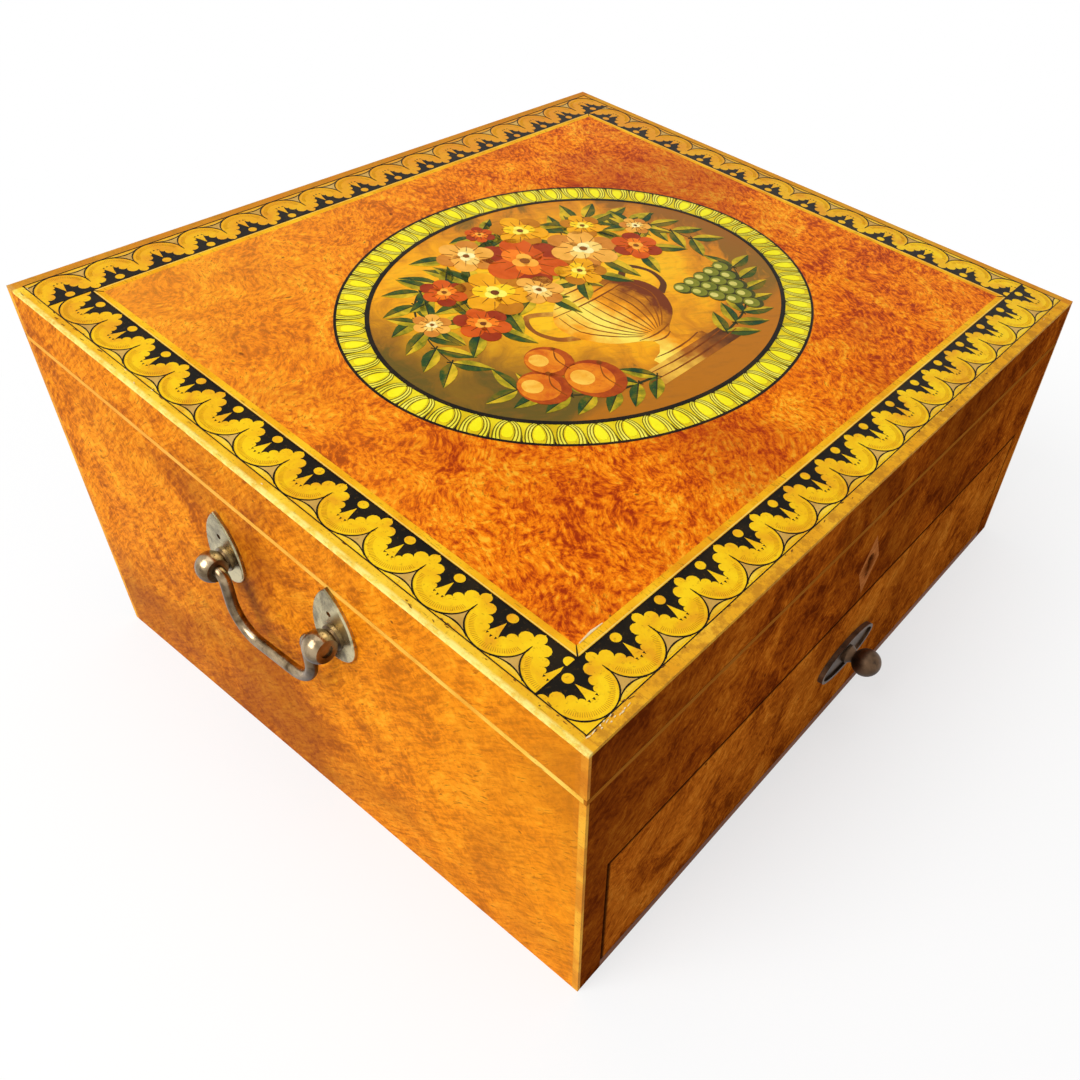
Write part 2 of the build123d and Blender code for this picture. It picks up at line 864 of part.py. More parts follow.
right_base_side = base_side()
right_base_veneer = base_side_veneer()
right_lid_rim = lid_side_rim()
right_lid_veneer = lid_side_veneer()
right_drawer_side = drawer_side()
right_plates = [handle_plate(y) for y in posts_y]
right_posts = [handle_post(y) for y in posts_y]
right_nuts = [handle_nut(y) for y in posts_y]
right_bail = bail()
ring_outer = oval(medallion_length, medallion_depth)
lid_screws = striker_screws(wood_screw)
base_screws = lock_screws(wood_screw)
for x in (-hinge_x, hinge_x):
    lid_screws += hinge_screws(x, True, wood_screw)
    base_screws += hinge_screws(x, False, wood_screw)
lid_front_rim_cuts = [striker_space()] + striker_screws(screw_hole)

nodes = {
    "base_left_side": mirror_x(right_base_side),
    "base_right_side": right_base_side,
    "base_back": base_back(),
    "base_front": base_front(),
    "bottom_board": bottom_board(),
    "drawer_ceiling": ceiling_space(),
    "base_left_veneer": mirror_x(right_base_veneer),
    "base_right_veneer": right_base_veneer,
    "base_front_veneer": base_front_veneer(),
    "base_back_veneer": base_back_veneer(),
    "base_rim_line": base_rim_line(),
    "base_corner_lines": group(corner_lines(base_corner)),
    "well_partition": well_partition(),
    "well_divisions": group(well_divisions()),
    "floor_lining": floor_lining(),
    "lock_case": lock_case(),
    "lock_bolt": lock_bolt(),
    "escutcheon": escutcheon(),
    "left_hinge_base_leaf": hinge_leaf(-hinge_x, False),
    "right_hinge_base_leaf": hinge_leaf(hinge_x, False),
    "left_hinge_lid_leaf": hinge_leaf(-hinge_x, True),
    "right_hinge_lid_leaf": hinge_leaf(hinge_x, True),
    "hinge_pins": group([hinge_pin(-hinge_x), hinge_pin(hinge_x)]),
    "base_screws": group(base_screws),
    "lid_screws": group(lid_screws),
    "lid_board": lid_board(),
    "lid_left_rim": mirror_x(right_lid_rim),
    "lid_right_rim": right_lid_rim,
    "lid_front_rim": lid_cross_rim(-board_half_depth, front_inner_y, lid_front_rim_cuts),
    "lid_back_rim": lid_cross_rim(inner_half_depth, board_half_depth, hinge_cuts(upper=True)),
    "lid_left_veneer": mirror_x(right_lid_veneer),
    "lid_right_veneer": right_lid_veneer,
    "lid_front_veneer": lid_cross_veneer(-half_depth, -board_half_depth, []),
    "lid_back_veneer": lid_cross_veneer(board_half_depth, half_depth, hinge_cuts(upper=True)),
    "lid_corner_lines": group(corner_lines(lid_corner)),
    "lid_edging": sloping_frame(0, border_inset, 0, veneer),
    "lid_border": group(border_strips()),
    "lid_stringing": sloping_frame(stringing_inset, panel_inset, 0, veneer),
    "lid_burr_panel": lid_face(panel_inset) - ring_outer,
    "medallion_ring": (lid_face(panel_inset) & ring_outer) - medallion_hole(),
    "medallion_panel": lid_face(panel_inset) & medallion_hole(),
    "lid_lining": lid_lining(),
    "lock_striker": striker(),
    "drawer_front": drawer_front(),
    "drawer_veneer": drawer_veneer(),
    "drawer_left_side": mirror_x(right_drawer_side),
    "drawer_right_side": right_drawer_side,
    "drawer_back": drawer_back(),
    "drawer_bottom": drawer_floor_space(),
    "drawer_long_divider": drawer_long_divider(),
    "drawer_dividers": group(drawer_dividers()),
    "pull_plate": pull_plate(),
    "pull_knob": pull_knob(),
    "pull_nut": pull_nut(),
    "handle_plates": group(right_plates + [mirror_x(plate) for plate in right_plates]),
    "handle_posts": group(right_posts + [mirror_x(post) for post in right_posts]),
    "handle_nuts": group(right_nuts + [mirror_x(nut) for nut in right_nuts]),
    "left_bail": mirror_x(right_bail),
    "right_bail": right_bail,
}

os.makedirs("parts", exist_ok=True)
for name, shape in nodes.items():
    export_step(shape, f"parts/{name}.step")
print(len(nodes), "nodes")
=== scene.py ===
# %% [markdown]
# # A writing box with a penwork lid
# The box stands on its underside, its front to -Y and its left side to -X. The packed
# model already holds every board, veneer and fitting at its real place, so this lesson
# only dresses it: it paints the lid, veneers the sides and ages the brass. First the
# model is loaded.

import math
import random

import bmesh
import bpy
from mathutils import Matrix, Vector


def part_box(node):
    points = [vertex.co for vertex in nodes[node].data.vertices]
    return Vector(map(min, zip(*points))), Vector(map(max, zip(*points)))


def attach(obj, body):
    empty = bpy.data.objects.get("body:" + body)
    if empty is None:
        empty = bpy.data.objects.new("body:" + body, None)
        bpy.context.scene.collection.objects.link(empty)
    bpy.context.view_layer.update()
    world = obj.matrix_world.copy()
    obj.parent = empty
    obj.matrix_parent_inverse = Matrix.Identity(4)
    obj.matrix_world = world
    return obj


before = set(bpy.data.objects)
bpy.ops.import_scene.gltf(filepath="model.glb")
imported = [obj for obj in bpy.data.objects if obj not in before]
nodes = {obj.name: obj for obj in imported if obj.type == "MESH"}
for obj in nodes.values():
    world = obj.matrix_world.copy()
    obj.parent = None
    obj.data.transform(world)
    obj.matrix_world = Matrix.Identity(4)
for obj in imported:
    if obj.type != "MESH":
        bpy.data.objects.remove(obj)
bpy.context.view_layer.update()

# %% [markdown]
# ## The camera
# The photograph was taken with a wide lens, close above the near left corner. Its two
# vanishing directions gave the place, the lens and a slight roll. The optical axis is a
# little off the middle of the frame, which the two small shifts repeat.

# %% Camera
camera_place = Vector((-0.2723, -0.2173, 0.2950))
camera_target = Vector((-0.0812, -0.0331, 0.0594))
camera_roll = math.radians(-1.89)

camera_data = bpy.data.cameras.new("camera")
camera_data.sensor_width = 36
camera_data.lens = 31.34
camera_data.shift_x = 0.0276
camera_data.shift_y = 0.0484
camera_data.clip_start = 0.01
camera = bpy.data.objects.new("camera", camera_data)
bpy.context.scene.collection.objects.link(camera)

forward = (camera_target - camera_place).normalized()
level = forward.cross(Vector((0, 0, 1))).normalized()
upward = level.cross(forward)
right = math.cos(camera_roll) * level + math.sin(camera_roll) * upward
up = math.cos(camera_roll) * upward - math.sin(camera_roll) * level
aim = Matrix((right, up, -forward)).transposed().to_4x4()
camera.matrix_world = Matrix.Translation(camera_place) @ aim
bpy.context.scene.camera = camera
print("camera", [round(v, 3) for v in camera.location], "lens", camera_data.lens, "mm")

# %% [markdown]
# ## Shader maths in plain Python
# Every pattern on the box is worked out by nodes, and a finish of burr can take fifty of
# them. Such a web is easier to read as `1 - mask` than as boxes and wires, so `Value`
# wraps an output of a node and turns each operator into a Math node.


# %% Values that add their own Math nodes
class Value:
    def __init__(self, tree, socket):
        self.tree = tree
        self.socket = socket

    def maths(self, operation, *values):
        inputs = dict(enumerate(values))
        return shader_node(self.tree, "ShaderNodeMath", {"operation": operation}, inputs)

    def __add__(self, other):
        return self.maths("ADD", self, other)

    def __sub__(self, other):
        return self.maths("SUBTRACT", self, other)

    def __neg__(self):
        return self.maths("SUBTRACT", 0, self)

    def __rsub__(self, other):
        return self.maths("SUBTRACT", other, self)

    def __mul__(self, other):
        return self.maths("MULTIPLY", self, other)

    def __truediv__(self, other):
        return self.maths("DIVIDE", self, other)

    def __abs__(self):
        return self.maths("ABSOLUTE", self)

    def smaller(self, other):
        return self.maths("MINIMUM", self, other)

    def larger(self, other):
        return self.maths("MAXIMUM", self, other)

    __radd__ = __add__
    __rmul__ = __mul__


print("a Value takes + - * / and abs")

# %% [markdown]
# `shader_node` adds every other kind of node: it takes the node's type, its settings and
# its inputs, each a plain value or a `Value` to be linked. A colour is written as the red,
# green and blue of a screen, from 0 to 255, and turned into the even scale of light that
# the renderer counts in.


# %% Any other node, and colours
def shader_node(tree, kind, settings=None, inputs=None, output=0):
    node = tree.nodes.new(kind)
    for name, value in (settings or {}).items():
        if name == "stops":
            while len(node.color_ramp.elements) < len(value):
                node.color_ramp.elements.new(1)
            for element, (position, shade) in zip(node.color_ramp.elements, value):
                element.position = position
                element.color = shade
        else:
            setattr(node, name, value)
    for name, value in (inputs or {}).items():
        if isinstance(value, Value):
            tree.links.new(value.socket, node.inputs[name])
        else:
            node.inputs[name].default_value = value
    return Value(tree, node.outputs[output])


def colour(red, green, blue):
    parts = [channel / 255 for channel in (red, green, blue)]
    linear = [c / 12.92 if c < 0.04045 else ((c + 0.055) / 1.055) ** 2.4 for c in parts]
    return (*linear, 1)


print("a mid grey is", round(colour(128, 128, 128)[0], 3), "in the renderer's light")

# %% [markdown]
# ## A material being made
# Every finish of the box is a Principled shader with patterns on its colour, roughness and
# surface. `Finish` keeps the shader at hand and names the few patterns that wood, ink and
# brass share: noise, a bent grid that makes grain swirl, a grid stretched along a slanting
# grain, and masks. Each pattern reads Object coordinates, so it stays on its piece, and
# the scale of a noise is about the number of its spots in a metre.


# %% A material being made
class Finish:
    def __init__(
        self, name, roughness=0.5, metallic=0.0, coat=0.0, coat_roughness=0.15, shine=0.1
    ):
        self.material = bpy.data.materials.new(name)
        self.material.use_nodes = True
        self.tree = self.material.node_tree
        self.shader = self.tree.nodes["Principled BSDF"]
        self.set("Roughness", roughness)
        self.set("Metallic", metallic)
        self.set("Coat Weight", coat)
        self.set("Coat Roughness", coat_roughness)
        self.set("Specular IOR Level", shine)

    def set(self, name, value):
        if isinstance(value, Value):
            self.tree.links.new(value.socket, self.shader.inputs[name])
        else:
            self.shader.inputs[name].default_value = value

    def node(self, kind, settings=None, inputs=None, output=0):
        return shader_node(self.tree, kind, settings, inputs, output)

    def place(self, shift=(0, 0, 0), scale=(1, 1, 1)):
        """The point on the piece, in metres."""
        point = self.node("ShaderNodeTexCoord", output="Object")
        inputs = {"Vector": point, "Location": shift, "Scale": scale}
        return self.node("ShaderNodeMapping", {}, inputs)

    def stretched(self, point, turn, scale):
        """The points turned first and then scaled: a scale under 1 draws a pattern out."""
        grid = self.node("ShaderNodeMapping", {}, {"Vector": point, "Rotation": turn})
        return self.node("ShaderNodeMapping", {}, {"Vector": grid, "Scale": scale})

    def bent(self, point, scale, amount):
        """The same points, pushed about by a slow noise, so that straight grain swirls."""
        push = self.noise(point, scale, 2, output=1)
        inputs = {0: push, 1: (amount, amount, amount), 2: point}
        return self.node("ShaderNodeVectorMath", {"operation": "MULTIPLY_ADD"}, inputs)

    def axis(self, point, which):
        return self.node("ShaderNodeSeparateXYZ", {}, {0: point}, "XYZ".index(which))

    def length(self, point):
        """How far the point lies from the zero of its grid."""
        return self.node("ShaderNodeVectorMath", {"operation": "LENGTH"}, {0: point}, 1)

    def noise(self, point, scale, detail=4.0, roughness=0.55, distortion=0.0, output=0):
        inputs = {"Vector": point, "Scale": scale, "Detail": detail}
        inputs.update({"Roughness": roughness, "Distortion": distortion})
        return self.node("ShaderNodeTexNoise", {}, inputs, output)

    def ramp(self, value, stops):
        shades = [(stop, colour(*shade)) for stop, shade in stops]
        return self.node("ShaderNodeValToRGB", {"stops": shades}, {"Fac": value})

    def mask(self, value, low, high):
        """0 below low and 1 above high."""
        inputs = {"Value": value, "From Min": low, "From Max": high}
        return self.node("ShaderNodeMapRange", {"clamp": True}, inputs)

    def blend(self, amount, first, second):
        inputs = {0: amount, 6: first, 7: second}
        return self.node("ShaderNodeMix", {"data_type": "RGBA"}, inputs, output=2)

    def bump(self, height, strength, distance):
        inputs = {"Height": height, "Strength": strength, "Distance": distance}
        self.set("Normal", self.node("ShaderNodeBump", {}, inputs))


print("patterns ready")

# %% [markdown]
# Every node of the model gets a finish. `dress` puts it in each slot that the node has,
# and leaves the node's shape and place alone.


# %% Dressing the model
def dress(material, *names):
    for name in names:
        if not nodes[name].material_slots:
            nodes[name].data.materials.append(material)
        for slot in nodes[name].material_slots:
            slot.material = material


print(len(nodes), "nodes to dress")

# %% [markdown]
# ## Burr veneer
# Burr wood has no straight grain: short feathery strokes swirl round small dark pips, with
# redder and paler clouds behind them. Three noises make the figure: clouds, a mottling,
# and a fine one drawn out along the swirling grid, which gives the strokes. Cells of a
# Voronoi pattern become the pips. Dark patches lie over the figure, more of them low down
# towards the back of the sides, and one end of a face may be paler or darker. On the lid
# that paler end is painted light: its back left corner is lighter, as if lit more there.


# %% The figure of the burr
swirl_scale, patch_scale, cloud_scale = 30, 14, 42
mottle_scale, stroke_scale, fleck_scale, pip_scale = 420, 700, 1250, 120
mottle_share = 0.34
darker_height, darker_depth = (0.01, 0.075), (-0.09, 0)
fleck_brown, pip_brown = (104, 34, 6), (84, 26, 8)


def burr_colour(finish, tones, shift, grain, dark, dark_share, low_darkening=0.0, end_tone=None):
    """The colour of the figure, and the height of its surface."""
    turn, draw, swirling, drawn_share = grain
    swirl = finish.bent(finish.place(shift), swirl_scale, swirling)
    drawn = finish.stretched(swirl, turn, draw)
    clouds = finish.noise(swirl, cloud_scale, 6, 0.62, 0.8)
    mottle = finish.noise(swirl, mottle_scale, 5, 0.72, 0.6)
    strokes = finish.noise(drawn, stroke_scale, 4, 0.62)
    figure = clouds * (1 - mottle_share - drawn_share) + mottle * mottle_share
    wood = finish.ramp(figure + strokes * drawn_share, tones)

    place = finish.place()
    # More dark patches low down, towards the back of a face.
    lowness = 1 - finish.mask(finish.axis(place, "Z"), *darker_height)
    lowness = lowness * finish.mask(finish.axis(place, "Y"), *darker_depth)
    even = finish.stretched(swirl, turn, (0.7, 0.7, 0.7))
    slow = finish.noise(even, patch_scale, 5, 0.6, 0.5)
    patch = finish.mask(slow + lowness * low_darkening, 0.5, 0.68)
    wood = finish.blend(patch * dark_share, wood, colour(*dark))
    # One end of the face is paler or darker; on the lid this is painted light.
    if end_tone:
        across, back, low, high, end_colour, share = end_tone
        reach = finish.axis(place, "X") * across + finish.axis(place, "Y") * back
        end_share = finish.mask(reach + clouds * 0.05, low, high) * share
        wood = finish.blend(end_share, wood, colour(*end_colour))

    fine = finish.noise(drawn, fleck_scale, 3, 0.6)
    flecks = (1 - finish.mask(fine, 0.33, 0.43)) * finish.mask(clouds, 0.42, 0.6)
    wood = finish.blend(flecks * 0.55, wood, colour(*fleck_brown))
    cells = finish.node("ShaderNodeTexVoronoi", {}, {"Vector": swirl, "Scale": pip_scale})
    pips = (1 - finish.mask(cells, 0.05, 0.1)) * finish.mask(mottle, 0.45, 0.55)
    wood = finish.blend(pips * 0.8, wood, colour(*pip_brown))
    return wood, finish.noise(place, 900, 3) + clouds * 0.5 - pips


print("burr has a swirl in every", round(1000 / swirl_scale), "mm or so")

# %% [markdown]
# The figure is the colour of a face, and its pips and clouds are felt a little on the
# surface too, so the same noises make a slight bump. An old polish lies over it, dull in
# patches.


# %% A face of burr
def burr(name, tones, shift, grain, dark, dark_share, low_darkening=0.0, end_tone=None, polish=0.0):
    finish = Finish(name, coat=polish, coat_roughness=0.2, shine=polish)
    wood, height = burr_colour(finish, tones, shift, grain, dark, dark_share, low_darkening, end_tone)
    finish.set("Base Color", wood)
    finish.set("Roughness", 0.36 + finish.noise(finish.place(), 45, 4) * 0.2)
    finish.bump(height, 0.14, 0.0004)
    return finish.material


print("one burr for every face")

# %% [markdown]
# Sun and hands have faded each face of the box by itself, so each has tones of its own:
# the lid a clear orange, the left side a yellower one, the front a brown. Five shades on
# a ramp are enough, because the noises mix them.


# %% Tones of each face
def tones(*shades):
    """Five shades on a ramp, from the dark strokes of the figure to the pale ones."""
    return list(zip((0.415, 0.46, 0.50, 0.54, 0.595), shades))


lid_tones = tones((156, 46, 2), (202, 82, 4), (236, 117, 6), (250, 142, 12), (255, 182, 44))
left_tones = tones((160, 78, 6), (198, 104, 8), (222, 126, 12), (238, 143, 18), (249, 166, 36))
front_tones = tones((108, 42, 8), (144, 64, 13), (168, 82, 17), (188, 96, 20), (214, 122, 32))
drawer_tones = tones((128, 58, 12), (166, 82, 18), (192, 102, 24), (208, 116, 30), (226, 138, 44))
print("four sets of tones")

# %% [markdown]
# The strokes lean about forty degrees on each face. A face lies in a plane of its own, so
# the turn goes round the axis that stands on that face, and the drawing out goes along an
# axis in it. A grain is its turn, its drawing out, the swirl in metres and the share of
# the strokes. An end tone is its run across and back, where it begins and ends on that
# run, its colour and its share. The lid's paler back left corner is painted light; the
# end tones of the sides and the front only make one end paler or darker. The polish has
# stayed on the lid and is nearly gone elsewhere.

# %% Veneers on their faces
slant = math.radians(38)
on_top = ((0, 0, slant), (1, 0.42, 1), 0.02, 0.34)
on_side = ((slant, 0, 0), (1, 0.13, 1), 0.01, 0.32)
on_front = ((0, slant, 0), (0.24, 1, 1), 0.016, 0.2)
# Painted light: the lid's back left corner is lighter, as if lit more there.
painted_light_corner = (-0.6, 0.8, 0.05, 0.18, (255, 182, 58), 0.38)
dark_corner = (-1, 0, 0.10, 0.18, (92, 38, 8), 0.5)
bright_front = (0, -1, 0.02, 0.15, (253, 160, 24), 0.35)
side_wood = (left_tones, (0.5, 0.1, 0.3), on_side, (128, 62, 16), 0.6, 0.13, bright_front)
front_wood = (front_tones, (0.3, 0.7, 0.2), on_front, (92, 38, 8), 0.5, 0.0, dark_corner)
lid_wood = (lid_tones, (0.1, 0.2, 0), on_top, (158, 46, 6), 0.5)

burr_lid = burr("lid burr", *lid_wood, end_tone=painted_light_corner, polish=0.03)
burr_left = burr("left burr", *side_wood, polish=0.01)
burr_right = burr("right burr", left_tones, (0.9, 0.4, 0.1), *side_wood[2:], polish=0.01)
burr_front = burr("front burr", *front_wood)
burr_back = burr("back burr", front_tones, (0.7, 0.2, 0.9), on_front, (84, 34, 4), 0.5)
dress(burr_lid, "lid_burr_panel")
dress(burr_left, "lid_left_veneer", "base_left_veneer")
dress(burr_right, "lid_right_veneer", "base_right_veneer")
dress(burr_front, "lid_front_veneer", "base_front_veneer")
dress(burr_back, "lid_back_veneer", "base_back_veneer")
print("burr veneer on the lid, the sides, the front and the back")

# %% [markdown]
# The drawer's own veneer is a little brighter, and its sides and top are darkened with
# painted shade, as in the gap round the drawer, which draws the drawer's outline on the front.

# %% Drawer veneer
drawer_low, drawer_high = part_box("drawer_veneer")
gap_shade_edge, gap_shade_black = (0.0004, 0.0012), (44, 18, 6)
drawer = Finish("drawer burr", shine=0)
drawer_grain = (drawer_tones, (0.1, 0.9, 0.6), on_front, (120, 54, 12), 0.4)
drawer_figure, _ = burr_colour(drawer, *drawer_grain)
drawer_point = drawer.place()
half_drawer = (drawer_high.x - drawer_low.x) / 2
to_side = half_drawer - abs(drawer.axis(drawer_point, "X"))
to_top = drawer_high.z - drawer.axis(drawer_point, "Z")
# Painted shade: the veneer darkened along its sides and top, as in the gap round it.
gap_shade = 1 - drawer.mask(to_side.smaller(to_top), *gap_shade_edge)
drawer.set("Base Color", drawer.blend(gap_shade * 0.85, drawer_figure, colour(*gap_shade_black)))
dress(drawer.material, "drawer_veneer")
print("drawer veneer", round(half_drawer * 2000, 1), "mm wide")

# %% [markdown]
# ## Boxwood lines
# The edges, the corners and the line round the burr panel are strips of boxwood, a hard
# yellow wood with hardly any figure. A slow noise moves between three yellows where polish
# has gone amber, a fine one gives pores and a drawn-out one scratches. One function makes
# the yellow wood, and the edging and the seam line add their wear and painted light to it.


# %% Boxwood
def box_colour(finish, pale, middle, amber):
    point = finish.place()
    slow = finish.noise(point, 60, 4, 0.6)
    wood = finish.ramp(slow, [(0.35, amber), (0.5, middle), (0.62, pale)])
    pores = finish.mask(finish.noise(point, 1400, 2, 0.5), 0.6, 0.72)
    wood = finish.blend(pores * 0.4, wood, colour(150, 90, 20))
    drawn = finish.stretched(point, (0, 0, 0), (1, 0.1, 1))
    scratches = finish.mask(finish.noise(drawn, 1500, 2, 0.5), 0.62, 0.7)
    return finish.blend(scratches * 0.5, wood, colour(132, 84, 26))


def boxwood(name, *shades, wear_and_light=None, polish=0.02):
    finish = Finish(name, roughness=0.45, coat=polish, shine=polish)
    wood = box_colour(finish, *shades)
    finish.set("Base Color", wear_and_light(finish, wood) if wear_and_light else wood)
    finish.bump(finish.noise(finish.place(), 1200, 2), 0.15, 0.0002)
    return finish.material


print("boxwood without its wear")

# %% [markdown]
# The edging of the lid has had the most hands on it. Its left arris is rubbed pale and
# brightened further by a painted highlight, its front one is a darker amber with painted
# shade, and the strips at the back and the right are browner still. The line at the seam
# is golden on the left side, and on the front it is painted shade, nearly brown. Each mark
# is a mask between two distances from the middle of the box, laid over the yellow wood.

# %% Wear on the edging and the seam
shaded_front_arris, lit_left_arris = (0.1288, 0.1298), (0.1583, 0.1591)
brown_back, brown_right = (0.1284, 0.1292), (0.1554, 0.1562)
inner_edge, front_face, side_fading = (0.1561, 0.1567), (0.1318, 0.1322), (-0.12, 0.05)


def beyond(finish, which, limits):
    """1 where the point lies outside the limits on either side of the box."""
    return finish.mask(abs(finish.axis(finish.place(), which)), *limits)


def edging_wear(finish, wood):
    point = finish.place()
    x, y = finish.axis(point, "X"), finish.axis(point, "Y")
    spots = finish.mask(finish.noise(point, 240, 5, 0.7), 0.46, 0.6)
    # Painted shade: the front arris and its face are a darker amber.
    amber = finish.mask(-y, *shaded_front_arris) * (0.5 + spots * 0.3)
    wood = finish.blend(amber, wood, colour(228, 150, 34))
    # Painted highlight on the rubbed left arris, where the light catches it.
    rubbed_and_lit = finish.mask(-x, *lit_left_arris) * (1 - spots * 0.7)
    wood = finish.blend(rubbed_and_lit * 0.85, wood, colour(255, 240, 140))
    for browned in (finish.mask(x, *brown_right) * 0.6, finish.mask(y, *brown_back) * 0.75):
        wood = finish.blend(browned, wood, colour(196, 112, 34))
    inner = (1 - beyond(finish, "X", inner_edge)) * spots
    return finish.blend(inner * 0.6, wood, colour(176, 118, 34))


def seam_wear(finish, wood):
    front_in_shade = beyond(finish, "Y", front_face)
    # Painted shade: the seam line is nearly brown on the front.
    wood = finish.blend(front_in_shade * 0.92, wood, colour(166, 92, 26))
    to_the_back = finish.mask(finish.axis(finish.place(), "Y"), *side_fading)
    return finish.blend(to_the_back * (1 - front_in_shade) * 0.6, wood, colour(232, 150, 66))


edge_shades = ((250, 206, 60), (242, 188, 42), (230, 164, 34))
line_shades = ((250, 194, 36), (244, 176, 24), (232, 154, 22))
seam_shades = ((250, 204, 92), (244, 190, 74), (232, 168, 56))
edge_boxwood = boxwood("edge boxwood", *edge_shades, wear_and_light=edging_wear, polish=0.01)
line_boxwood = boxwood("line boxwood", *line_shades)
seam_boxwood = boxwood("seam boxwood", *seam_shades, wear_and_light=seam_wear, polish=0)
dress(edge_boxwood, "lid_edging")
dress(line_boxwood, "lid_stringing")
dress(seam_boxwood, "base_rim_line")
print("boxwood on the edging, the stringing and the seam")

# %% [markdown]
# The corner strips have worn down to a narrow yellow line. Behind it they have taken the
# colour of the veneer beside them, so their inner part is painted as veneer, with the
# side's figure on the sides and the front's figure on the front. On the front face the
# yellow line is darker with painted shade.

# %% Corner strips
front_limits, side_limits = (0.1316, 0.1320), (0.1580, 0.1584)
line_x, line_y = (0.1575, 0.1579), (0.1305, 0.1309)
corners = Finish("corner boxwood", coat=0.01, shine=0.02)
side_colour, _ = burr_colour(corners, *side_wood)
front_colour, _ = burr_colour(corners, *front_wood)
faces_front = beyond(corners, "Y", front_limits) * (1 - beyond(corners, "X", side_limits))
behind = corners.blend(faces_front, side_colour, front_colour)
line_colour = box_colour(corners, (240, 176, 54), (226, 150, 40), (204, 122, 28))
# Painted shade: the yellow line is darker on the front face.
line_colour = corners.blend(faces_front * 0.6, line_colour, colour(150, 84, 18))
worn_edge = corners.noise(corners.place(), 160, 4, 0.7) * 0.0012
narrow = beyond(corners, "X", line_x) * beyond(corners, "Y", line_y)
outermost = corners.mask(worn_edge, 0.0, 0.0004) * narrow
corners.set("Base Color", corners.blend(outermost, behind, line_colour))
dress(corners.material, "lid_corner_lines", "base_corner_lines")
print("corner strips")

# %% [markdown]
# ## Carcass wood
# Behind the veneer the boards are a plain reddish wood with straight grain, and the drawer
# is of a paler one. The grain is a noise drawn out along the boards, with a second, finer
# noise for the pores.


# %% Carcass wood
def board_wood(name, dark, light):
    finish = Finish(name, roughness=0.55)
    grain = finish.bent(finish.place(scale=(0.12, 0.12, 1)), 6, 0.02)
    rings = finish.noise(grain, 90, 5, 0.6, 0.4)
    pores = finish.noise(grain, 500, 3, 0.6)
    finish.set("Base Color", finish.ramp(rings * 0.7 + pores * 0.3, [(0.36, dark), (0.64, light)]))
    finish.bump(pores, 0.2, 0.0003)
    return finish.material


case_wood = board_wood("case wood", (112, 58, 26), (168, 98, 48))
drawer_wood = board_wood("drawer wood", (150, 98, 52), (206, 156, 96))
base_boards = ["base_left_side", "base_right_side", "base_back", "base_front", "bottom_board"]
base_boards += ["drawer_ceiling", "well_partition", "well_divisions"]
lid_boards = ["lid_board", "lid_left_rim", "lid_right_rim", "lid_front_rim", "lid_back_rim"]
drawer_boards = ["drawer_left_side", "drawer_right_side", "drawer_back", "drawer_bottom"]
drawer_boards += ["drawer_long_divider", "drawer_dividers"]
dress(case_wood, *base_boards, *lid_boards, "drawer_front")
dress(drawer_wood, *drawer_boards)
print(len(base_boards + lid_boards + drawer_boards) + 1, "boards")

# %% [markdown]
# ## Lining paper
# The floor of the box and the inside of the lid are lined with a faded green paper. Its
# fibres are a drawn-out noise, and old damp has stained it brown in places.

# %% Lining paper
lining = Finish("lining paper", roughness=0.9)
fibres = lining.noise(lining.place(scale=(1, 3, 1)), 700, 4, 0.65)
stains = lining.noise(lining.place(), 16, 4, 0.6)
sheet = lining.ramp(fibres, [(0.35, (92, 104, 78)), (0.62, (128, 138, 104))])
sheet = lining.blend(lining.mask(stains, 0.5, 0.75) * 0.5, sheet, colour(150, 132, 88))
lining.set("Base Color", sheet)
lining.bump(fibres, 0.3, 0.0002)
dress(lining.material, "floor_lining", "lid_lining")
print("paper linings")

# %% [markdown]
# ## Old brass and steel
# The handles are brass that has gone grey and brown, bright where hands rub it, with
# spots of grime. Their undersides are darker with painted shade, found from the surface's
# own direction, kept on the piece, so it turns with the handle. The base colours are
# darker than the brass looks, because metal shows the white room round it as well.


# %% Old brass and steel
def old_metal(name, bright, tarnish, grime_and_shade_colour, roughness, shaded=0.0):
    finish = Finish(name, metallic=1.0, shine=0.5)
    point = finish.place()
    cloud = finish.noise(point, 120, 5, 0.6, 0.4)
    metal = finish.ramp(cloud, [(0.36, tarnish), (0.6, bright)])
    spots = finish.mask(finish.noise(point, 420, 4, 0.6), 0.6, 0.72)
    facing = finish.node("ShaderNodeTexCoord", output="Normal")
    # Painted shade: the undersides are darker, as where less light falls.
    painted_underside_shade = finish.mask(-finish.axis(facing, "Z"), -0.35, 0.5) * shaded
    # This dark share holds grime spots and painted shade together.
    dirt = (spots * 0.5).larger(painted_underside_shade)
    finish.set("Base Color", finish.blend(dirt, metal, colour(*grime_and_shade_colour)))
    finish.set("Roughness", roughness + cloud * 0.14 + dirt * 0.2)
    finish.set("Metallic", 1 - dirt * 0.3)
    finish.bump(finish.noise(point, 1500, 3, 0.6) + cloud * 2, 0.1, 0.0002)
    return finish.material


